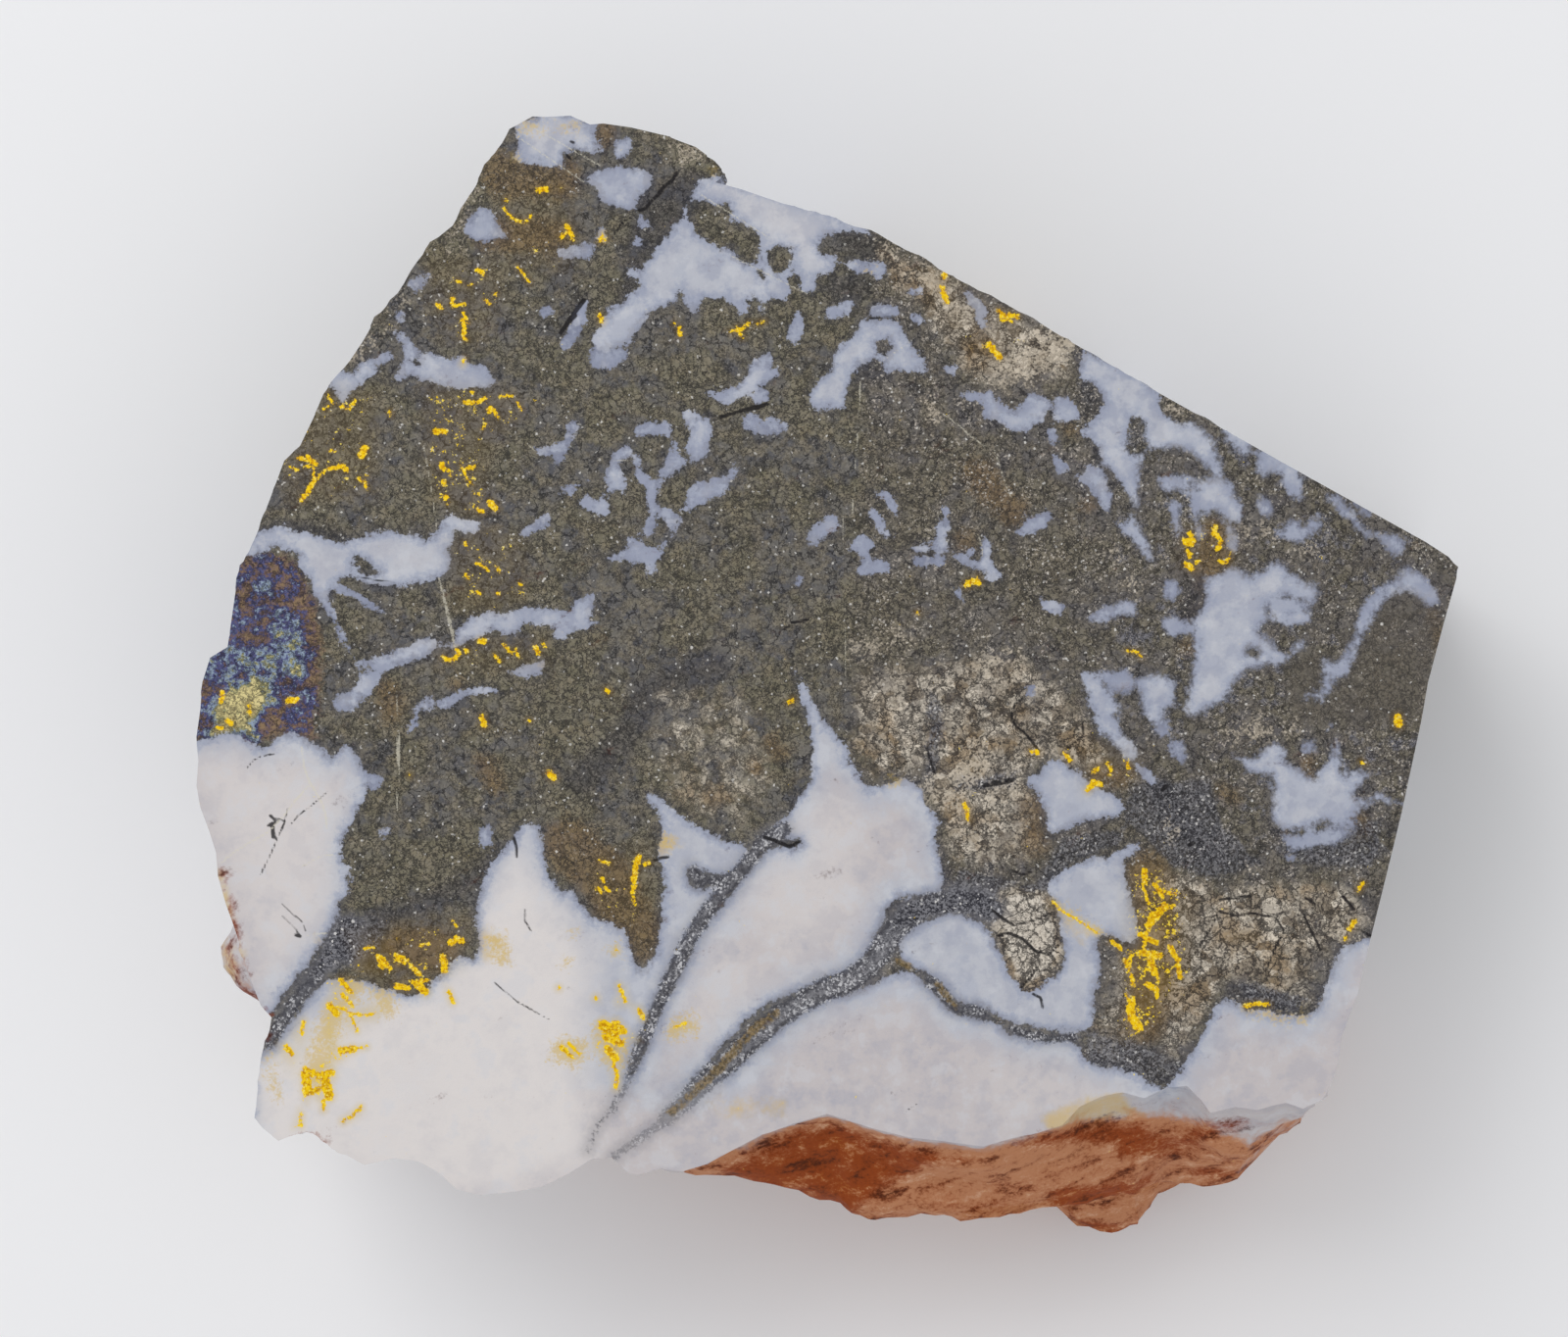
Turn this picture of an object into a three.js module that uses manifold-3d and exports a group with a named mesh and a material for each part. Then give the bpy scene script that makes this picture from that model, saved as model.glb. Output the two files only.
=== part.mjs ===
// A slab of gold ore, sawn from a quartz vein: grey sulphide and white quartz, with gold through both.
// It is one stone. The top face is ground flat in four facets, the upper right and right sides are sawn,
// and the left, top and lower sides are broken rock. The back is sawn flat, and the slab lies on it.
// Units are millimetres. +Z is up, out of the ground face, and the origin is on the back, below the middle
// of the face.

import * as THREE from "three";
import { mergeVertices } from "three/addons/utils/BufferGeometryUtils.js";
import Module from "manifold-3d";

// Driving dimensions.
const THICKNESS = 20; // from the sawn back to the ground face
const OUTLINE_STEP = 1.25; // longest side of the outline's polygon
const LAYER_COUNT = 16; // rows of the side, from the back to the face
const GRINDING_STOCK = 1.2; // rock above the face, which the facets cut away
const CREST_DEPTH = 0.5; // the side is straight this far below the face, so the face keeps its outline
const SPREAD_DEPTH = 8; // the broken side has spread out fully this far below the face
const LEDGE_RELIEF = 1.4; // height of the broken side's ledges
const LEDGE_LENGTH = 5.4;
const LEDGE_SHEAR = 0.4; // how far the ledges lean along X for each millimetre of height
const LEDGE_SQUASH = 1.3; // how much lower than long they are
const GRAIN_RELIEF = 0.5; // height of the lumps on the ledges
const GRAIN_LENGTH = 2.1;
const TERRACE_RELIEF = 0.55; // height of the long steps that run along the broken sides
const TERRACE_PITCH = 6.5; // and their distance apart, from the face down
const TERRACE_SLANT = 0.16; // how much they climb to the left
const TERRACE_WAVER = 2; // and how far they wander up and down
const RELIEF_DEPTH = 3; // the ledges have their full height this far below the face
const RELIEF_SETBACK = 0.6; // how far the middle of that relief lies behind the outline
const SAWN_RELIEF = 0.05; // what the saw leaves
const LEAST_FACING = 0.3; // a break only cuts the sides that face its way at least this much
const FACING_REACH = 4; // points of the outline to each side over which its direction is taken
const STONE = { color: 0x77756f, roughness: 0.4, metalness: 0.15 };

// The ground face's outline, clockwise from the crest at the top left. Each point is x, y and how far the
// side below it spreads out beyond the face.
const CREST = [
  [-16.2, 27.9, 0.1], [-15.0, 28.5, 0.1], [-13.1, 28.6, 0], [-12.1, 28.15, 0], [-11.4, 28.2, 0],
  [-10.0, 28.0, 0], [-8.05, 27.5, 0], [-6.7, 27.0, -0.2], [-6.1, 26.55, -0.2], [-5.4, 25.9, -0.2],
  [-5.3, 25.5, -0.2], [-5.7, 25.2, -0.2],
];
const UPPER_RIGHT_SAWN = [
  [-4.4, 24.85, 0], [-2.2, 24.1, 0], [-0.6, 23.65, 0], [0.4, 23.3, 0], [3.05, 22.3, 0], [4.9, 21.2, 0],
  [10.5, 18.2, 0], [17.05, 14.4, 0], [24.9, 10.0, 0], [30.6, 6.85, 0], [31.75, 6.1, 0], [32.2, 5.55, 0],
];
const RIGHT_SAWN = [
  [32.15, 5.0, 0], [31.5, 2.7, 0], [30.7, -0.3, 0], [30.35, -2.3, 0], [30.2, -3.0, 0], [29.35, -7.0, 0],
  [28.4, -10.9, 0], [27.6, -14.15, 0], [27.1, -16.3, 0.1], [26.6, -17.6, 0.1], [26.3, -18.5, 0],
  [26.2, -19.4, 0], [25.9, -20.5, 0], [25.5, -21.4, 0],
];
const LOWER_BROKEN = [
  [25.0, -22.0, 0.1], [24.4, -22.25, 1.0], [23.5, -21.9, 2.2], [22.0, -22.2, 3.9], [20.9, -22.0, 4.4],
  [19.6, -22.3, 3.9], [19.1, -21.6, 4.5], [18.4, -20.9, 5.2], [17.4, -21.0, 5.4], [16.2, -21.6, 5.2],
  [15.1, -21.3, 5.8], [14.0, -21.5, 5.6], [12.9, -22.0, 5.3], [12.0, -22.95, 4.4], [10.8, -23.3, 3.9],
  [9.2, -23.6, 3.7], [8.0, -23.95, 3.5], [6.0, -23.7, 3.8], [4.2, -23.5, 4.0], [2.2, -23.0, 4.2],
  [0.0, -22.3, 4.4], [-1.7, -22.8, 3.4], [-3.3, -23.4, 2.4], [-4.8, -24.2, 1.5], [-6.1, -24.9, 0.7],
  [-7.4, -25.3, 0.1],
];
const LOWER_LEFT_BROKEN = [
  [-8.5, -25.15, 0], [-9.7, -25.5, -0.3], [-10.2, -25.35, -0.4], [-11.0, -24.6, -0.4], [-12.0, -24.7, -0.6],
  [-13.1, -25.4, -0.7], [-14.5, -26.1, -0.8], [-16.1, -26.4, -0.8], [-17.7, -26.55, -0.8],
  [-18.9, -26.25, -0.8], [-19.8, -25.4, -0.6], [-20.8, -24.8, -0.4], [-22.1, -24.6, -0.4],
  [-23.6, -24.95, -0.4], [-24.5, -24.45, 0], [-25.3, -24.1, 0.2], [-25.9, -23.4, 0.9],
  [-26.6, -23.25, 1.0], [-27.4, -23.45, 0.5], [-28.0, -23.7, 0.1],
  [-28.8, -23.05, 0], [-29.15, -22.5, 0],
];
const LEFT_BROKEN = [
  [-29.05, -21.0, 0], [-28.95, -19.9, 0], [-28.75, -18.9, 0], [-28.45, -18.05, 0.1], [-28.35, -17.4, 0.5],
  [-28.9, -16.8, 0.8], [-29.3, -15.8, 1.1], [-29.7, -14.6, 1.4], [-30.0, -13.6, 1.3], [-30.3, -12.7, 0.6],
  [-30.7, -11.6, 0.1], [-31.1, -10.2, 0.3], [-31.2, -9.0, 0], [-31.55, -7.9, -0.2], [-32.0, -6.7, -0.3],
  [-32.2, -5.6, -0.3], [-32.1, -4.3, -0.3], [-32.2, -3.1, -0.3], [-32.0, -1.7, -0.3], [-31.9, -0.3, -0.3],
  [-31.5, 0.95, -0.4], [-30.6, 1.5, -0.6], [-30.4, 2.9, -0.6], [-30.2, 4.3, 0], [-29.9, 5.65, 0],
];
const UPPER_LEFT_BROKEN = [
  [-29.5, 6.4, 0], [-29.0, 7.5, 0], [-28.6, 8.6, 0], [-28.0, 10.2, 0.1], [-27.7, 11.0, 0.1],
  [-26.9, 11.75, 0], [-26.2, 13.2, 0], [-25.7, 14.4, 0], [-25.2, 15.05, 0], [-24.35, 16.1, 0],
  [-23.65, 17.15, 0],
  [-23.0, 18.3, 0.1], [-21.9, 19.55, 0.1], [-20.9, 21.15, 0], [-20.2, 22.1, -0.2], [-19.1, 23.0, 0],
  [-18.4, 24.25, 0.1], [-17.9, 25.05, 0], [-17.5, 26.1, 0], [-16.9, 26.7, 0.1], [-16.5, 27.35, 0],
];
const STRETCHES = [
  { points: CREST, sawn: false },
  { points: UPPER_RIGHT_SAWN, sawn: true },
  { points: RIGHT_SAWN, sawn: true },
  { points: LOWER_BROKEN, sawn: false },
  { points: LOWER_LEFT_BROKEN, sawn: false },
  { points: LEFT_BROKEN, sawn: false },
  { points: UPPER_LEFT_BROKEN, sawn: false },
];

// Flat breaks that undercut the broken sides: a point on each, the compass direction in the plan that it
// faces, from +X towards +Y, how far it leans in below, from upright, and how far along the side it reaches.
const BREAKS = [
  { through: [-31.8, -4.0, 12.5], facingDegrees: 182, leanDegrees: 27, reach: 16 },
  { through: [-30.2, 5.0, 7.0], facingDegrees: 165, leanDegrees: 42, reach: 13 },
  { through: [-25.2, 15.2, 13.0], facingDegrees: 151, leanDegrees: 18, reach: 14 },
  { through: [-20.5, 22.0, 8.5], facingDegrees: 139, leanDegrees: 38, reach: 12 },
  { through: [-12.0, 28.3, 13.0], facingDegrees: 93, leanDegrees: 22, reach: 12 },
  { through: [-19.0, -26.0, 14.5], facingDegrees: 264, leanDegrees: 22, reach: 17 },
  { through: [-8.0, -25.8, 9.0], facingDegrees: 272, leanDegrees: 32, reach: 15 },
  { through: [3.0, -27.8, 7.0], facingDegrees: 266, leanDegrees: 34, reach: 13 },
  { through: [13.5, -30.2, 3.2], facingDegrees: 272, leanDegrees: 44, reach: 12 },
  { through: [22.5, -26.8, 6.0], facingDegrees: 292, leanDegrees: 34, reach: 10 },
  { through: [-28.6, -21.5, 10.0], facingDegrees: 221, leanDegrees: 34, reach: 12 },
];
const BREAK_FADE = 0.3; // share of its reach at which a break starts to fade out

// Breaks that take off a corner between a sawn side and a broken one, right across both.
const CORNER_BREAKS = [
  { through: [25.8, -21.6, 7.0], facingDegrees: 325, leanDegrees: 30 },
  { through: [-6.0, 26.0, 8.0], facingDegrees: 100, leanDegrees: 38 },
];

// Lumps that stand out of the broken sides: a centre, a radius, and how far each pushes the side out.
const LUMPS = [
  { centre: [14.6, -28.0, 3.6], radius: 4.2, out: 3.0 },
  { centre: [21.2, -26.2, 6.0], radius: 3.0, out: 1.1 },
  { centre: [5.2, -28.2, 10.4], radius: 6.0, out: 0.7 },
  { centre: [-2.0, -25.5, 9.0], radius: 5.0, out: 0.6 },
  { centre: [-18.0, -26.5, 7.0], radius: 6.0, out: 0.9 },
];

// The ground facets. Each is a plane that meets the level face, or another facet, along a line from one
// point to the other, and drops away to the right of that line as it is walked.
const FACETS = [
  { name: "right", on: "level", from: [0.9, -4.5], to: [2.3, 22.3], dropDegrees: 0.8 },
  { name: "lower right", on: "right", from: [17.3, -2.6], to: [30.3, -2.9], dropDegrees: 1.2 },
  { name: "left", on: "level", from: [-25.7, 7.5], to: [-25.5, -3.5], dropDegrees: 1.6 },
];

// Chips broken from the face's edge: a centre on the edge and a radius.
const CHIPS = [
  { centre: [17.2, -22.6, 20.9], radius: 1.6 },
  { centre: [14.0, -23.0, 21.0], radius: 1.5 },
  { centre: [-5.6, 26.6, 21.1], radius: 1.3 },
  { centre: [24.9, -22.9, 20.8], radius: 1.2 },
  { centre: [-30.9, 2.2, 20.9], radius: 1.2 },
];
const CHIP_DETAIL = 1; // how often each icosahedron's faces are divided

const HALF_SPACE_SIZE = 200; // of the box that stands for everything behind a plane
const MERGE_DISTANCE = 1e-4;
const LATTICE_WAVES = [127.1, 311.7, 74.7]; // unrelated numbers, so that the noise shows no pattern
const LATTICE_SCALE = 43758.5453;
const GRAIN_SHIFT = 50; // keeps the grain's lattice apart from the ledges'
const SAWN_SHIFT = 90; // and the saw marks' apart from both

const wasm = await Module();
wasm.setup();

function solidOf(geometry) {
  const bare = geometry.clone();
  bare.deleteAttribute("normal");
  bare.deleteAttribute("uv");
  const merged = mergeVertices(bare, MERGE_DISTANCE);
  const mesh = new wasm.Mesh({
    numProp: 3,
    vertProperties: new Float32Array(merged.attributes.position.array),
    triVerts: new Uint32Array(merged.index.array),
  });
  return new wasm.Manifold(mesh);
}

function geometryOf(solid) {
  const { numProp, numVert, vertProperties, triVerts } = solid.getMesh();
  const positions = new Float32Array(numVert * 3);
  for (let i = 0; i < numVert; i++) {
    positions.set(vertProperties.subarray(i * numProp, i * numProp + 3), i * 3);
  }
  const geometry = new THREE.BufferGeometry();
  geometry.setAttribute("position", new THREE.BufferAttribute(positions, 3));
  geometry.setIndex(new THREE.BufferAttribute(new Uint32Array(triVerts), 1));
  geometry.computeVertexNormals();
  return geometry;
}

const clamp01 = (value) => Math.min(1, Math.max(0, value));

function smoothStep(low, high, value) {
  const share = clamp01((value - low) / (high - low));
  return share * share * (3 - 2 * share);
}

// A number from 0 to 1 that depends only on three whole numbers.
function latticeValue(i, j, k) {
  const [a, b, c] = LATTICE_WAVES;
  const wave = Math.sin(i * a + j * b + k * c) * LATTICE_SCALE;
  return wave - Math.floor(wave);
}

// Noise from -1 to 1 that runs in straight slopes between the points of a lattice, so it has creases.
function creasedNoise(point, cell) {
  const at = point.map((value) => value / cell);
  const base = at.map(Math.floor);
  const share = at.map((value, axis) => value - base[axis]);
  let sum = 0;
  for (let corner = 0; corner < 8; corner++) {
    const step = [corner & 1, (corner >> 1) & 1, corner >> 2];
    const weight = step.reduce((w, s, axis) => w * (s ? share[axis] : 1 - share[axis]), 1);
    sum += weight * latticeValue(base[0] + step[0], base[1] + step[1], base[2] + step[2]);
  }
  return 2 * sum - 1;
}

// The outline with each long side divided, and what the side does below each point.
function dividedOutline() {
  const corners = STRETCHES.flatMap(({ points, sawn }) =>
    points.map(([x, y, spread]) => ({ x, y, spread, rough: sawn ? 0 : 1 })),
  );
  return corners.flatMap((from, index) => {
    const to = corners[(index + 1) % corners.length];
    const length = Math.hypot(to.x - from.x, to.y - from.y);
    const count = Math.max(1, Math.round(length / OUTLINE_STEP));
    return Array.from({ length: count }, (_, step) => {
      const share = step / count;
      const mix = (key) => from[key] + (to[key] - from[key]) * share;
      return { x: mix("x"), y: mix("y"), spread: mix("spread"), rough: mix("rough") };
    });
  });
}

// Which way each point of the outline faces, taken over a wide stretch so that the sides don't fold in a
// notch.
function withOutward(outline) {
  return outline.map((point, index) => {
    const before = outline[(index - FACING_REACH + outline.length) % outline.length];
    const after = outline[(index + FACING_REACH) % outline.length];
    const along = new THREE.Vector2(after.x - before.x, after.y - before.y).normalize();
    return { ...point, outward: [-along.y, along.x] };
  });
}

// How far the side first stands out beyond the face's outline, at a point of the outline and a height.
function spreadAt(point, z) {
  return point.spread * smoothStep(CREST_DEPTH, SPREAD_DEPTH, THICKNESS - z);
}

function breakNormal({ facingDegrees, leanDegrees }) {
  const facing = THREE.MathUtils.degToRad(facingDegrees);
  const lean = THREE.MathUtils.degToRad(leanDegrees);
  const level = Math.cos(lean);
  return new THREE.Vector3(level * Math.cos(facing), level * Math.sin(facing), -Math.sin(lean));
}

// The same place drawn in towards the middle of the plan, until it is behind every break. A sawn side stays.
function behindBreaks(point, [x, y, z]) {
  const inward = new THREE.Vector3(-x, -y, 0).normalize();
  const drawn = BREAKS.reduce((most, one) => {
    const { through, reach } = one;
    const normal = breakNormal(one);
    const beyond = normal.dot(new THREE.Vector3(x - through[0], y - through[1], z - through[2]));
    const along = -normal.dot(inward);
    const away = Math.hypot(x - through[0], y - through[1]);
    const share = 1 - smoothStep(BREAK_FADE * reach, reach, away);
    return beyond > 0 && along > LEAST_FACING ? Math.max(most, (share * beyond) / along) : most;
  }, 0);
  const kept = point.rough * drawn;
  return [x + inward.x * kept, y + inward.y * kept, z];
}

// The ledges, grain and lumps of a broken side, or the faint marks of a sawn one.
function reliefAt(point, place) {
  const [x, y, z] = place;
  const ledge = LEDGE_RELIEF * creasedNoise([x + LEDGE_SHEAR * z, y, z * LEDGE_SQUASH], LEDGE_LENGTH);
  const grain = GRAIN_RELIEF * creasedNoise([x + GRAIN_SHIFT, y, z], GRAIN_LENGTH);
  const sawn = SAWN_RELIEF * creasedNoise([x, y, z + SAWN_SHIFT], GRAIN_LENGTH);
  const waver = TERRACE_WAVER * creasedNoise([y, z, x], LEDGE_LENGTH);
  const phase = (z + TERRACE_SLANT * x + waver) / TERRACE_PITCH;
  const terrace = TERRACE_RELIEF * (4 * Math.abs(phase - Math.floor(phase) - 0.5) - 1);
  const lumps = LUMPS.reduce((sum, { centre, radius, out }) => {
    const away = Math.hypot(...place.map((value, axis) => value - centre[axis]));
    return sum + out * Math.exp(-((away / radius) ** 2));
  }, 0);
  const broken = ledge + grain + terrace + lumps - RELIEF_SETBACK;
  const relief = point.rough * broken + (1 - point.rough) * sawn;
  return relief * smoothStep(CREST_DEPTH, RELIEF_DEPTH, THICKNESS - z);
}

// The rock before its face is ground: the outline extruded, with its sides pushed in and out.
function roughBlock() {
  const outline = withOutward(dividedOutline());
  const shape = new THREE.Shape(outline.map(({ x, y }) => new THREE.Vector2(x, y)));
  const block = new THREE.ExtrudeGeometry(shape, {
    depth: THICKNESS + GRINDING_STOCK,
    steps: LAYER_COUNT,
    bevelEnabled: false,
  });
  const position = block.attributes.position;
  for (let i = 0; i < position.count; i++) {
    const [x, y, z] = [position.getX(i), position.getY(i), position.getZ(i)];
    const near = outline.reduce((best, point) => {
      const away = Math.hypot(point.x - x, point.y - y);
      return away < best.away ? { point, away } : best;
    }, { point: outline[0], away: Infinity }).point;
    const [outX, outY] = near.outward;
    const spread = spreadAt(near, z);
    const place = behindBreaks(near, [near.x + outX * spread, near.y + outY * spread, z]);
    const relief = reliefAt(near, place);
    position.setXY(i, place[0] + outX * relief, place[1] + outY * relief);
  }
  return solidOf(block);
}

// The plane of a ground facet: its normal and a point on it.
function facetPlane(name) {
  if (name === "level") {
    return { normal: new THREE.Vector3(0, 0, 1), point: new THREE.Vector3(0, 0, THICKNESS) };
  }
  const { on, from, to, dropDegrees } = FACETS.find((facet) => facet.name === name);
  const base = facetPlane(on);
  const [start, end] = [from, to].map(([x, y]) => {
    const fall = (x - base.point.x) * base.normal.x + (y - base.point.y) * base.normal.y;
    return new THREE.Vector3(x, y, base.point.z - fall / base.normal.z);
  });
  const along = end.sub(start).normalize();
  const normal = base.normal.clone().applyAxisAngle(along, THREE.MathUtils.degToRad(dropDegrees));
  return { normal, point: start };
}

// Everything behind a plane.
function behindPlane({ normal, point }) {
  const size = HALF_SPACE_SIZE;
  const box = new THREE.BoxGeometry(size, size, size).translate(0, 0, -size / 2);
  box.applyQuaternion(new THREE.Quaternion().setFromUnitVectors(new THREE.Vector3(0, 0, 1), normal));
  return solidOf(box.translate(point.x, point.y, point.z));
}

function chip({ centre, radius }) {
  return solidOf(new THREE.IcosahedronGeometry(radius, CHIP_DETAIL).translate(...centre));
}

function oreSlab() {
  const facets = ["level", ...FACETS.map(({ name }) => name)].map(facetPlane);
  const corners = CORNER_BREAKS.map((one) => ({
    normal: breakNormal(one),
    point: new THREE.Vector3(...one.through),
  }));
  let stone = roughBlock();
  for (const plane of [...facets, ...corners]) {
    stone = stone.intersect(behindPlane(plane));
  }
  for (const one of CHIPS) {
    stone = stone.subtract(chip(one));
  }
  const mesh = new THREE.Mesh(geometryOf(stone), new THREE.MeshStandardMaterial(STONE));
  mesh.name = "ore_slab";
  return mesh;
}

const specimen = new THREE.Group();
specimen.add(oreSlab());

export default specimen;
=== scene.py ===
"""A slab of gold ore, ground flat on its face: grey sulphide, bluish and white quartz, and native gold.

Lengths named ..._MM and all outlines are in millimetres. X and Y are those of the part.
"""

import math

import bmesh
import bpy
import numpy as np
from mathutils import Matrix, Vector, noise


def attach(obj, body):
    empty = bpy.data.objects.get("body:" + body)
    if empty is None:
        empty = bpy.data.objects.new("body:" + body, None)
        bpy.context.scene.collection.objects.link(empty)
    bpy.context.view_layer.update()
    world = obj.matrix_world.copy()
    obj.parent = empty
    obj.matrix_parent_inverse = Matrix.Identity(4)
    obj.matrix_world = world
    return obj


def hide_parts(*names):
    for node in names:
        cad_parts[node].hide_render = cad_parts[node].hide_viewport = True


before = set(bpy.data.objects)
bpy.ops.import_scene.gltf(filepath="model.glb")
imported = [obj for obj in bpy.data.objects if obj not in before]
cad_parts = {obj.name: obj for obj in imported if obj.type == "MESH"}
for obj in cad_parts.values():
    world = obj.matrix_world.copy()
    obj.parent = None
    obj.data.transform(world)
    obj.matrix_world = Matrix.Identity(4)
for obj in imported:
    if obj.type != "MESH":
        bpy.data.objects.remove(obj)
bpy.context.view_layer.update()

MM = 0.001
FACE_HEIGHT_MM = 20.0

# The camera looks straight down on the face.
VIEW_MIDDLE_MM = (-2.2, 0.4)
CAMERA_HEIGHT_MM = 350.0
LENS_MM = 148.5
SENSOR_MM = 36.0

# Fineness of the stone's mesh.
FACE_CELL_MM = 0.25
BACK_CELL_MM = 0.8
SIDE_CUTS = 2
FINE_REACH_MM = 0.3

# The two sawn sides, each as a line that the side stands on.
SAWN_LINES = [((-5.9, 25.4), (31.7, 6.4)), ((32.2, 5.2), (26.4, -18.4))]
SAWN_REACH_MM = 0.35
# Height and length of the grain on the broken sides.
GRAIN_MM = 0.16
GRAIN_LENGTH_MM = 0.9
# Edges that turn by more than this stay sharp.
SHARP_FROM_DEGREES = 50
# How far the fields reach out from an outline or a stroke.
FIELD_REACH_MM = 2.0
# How pink and how rusty the undercut part of the broken side is; the pink is partly painted warm reflected
# light.
UNDERCUT_LEVELS = {"pink": 0.62, "rust": 0.45}

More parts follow.
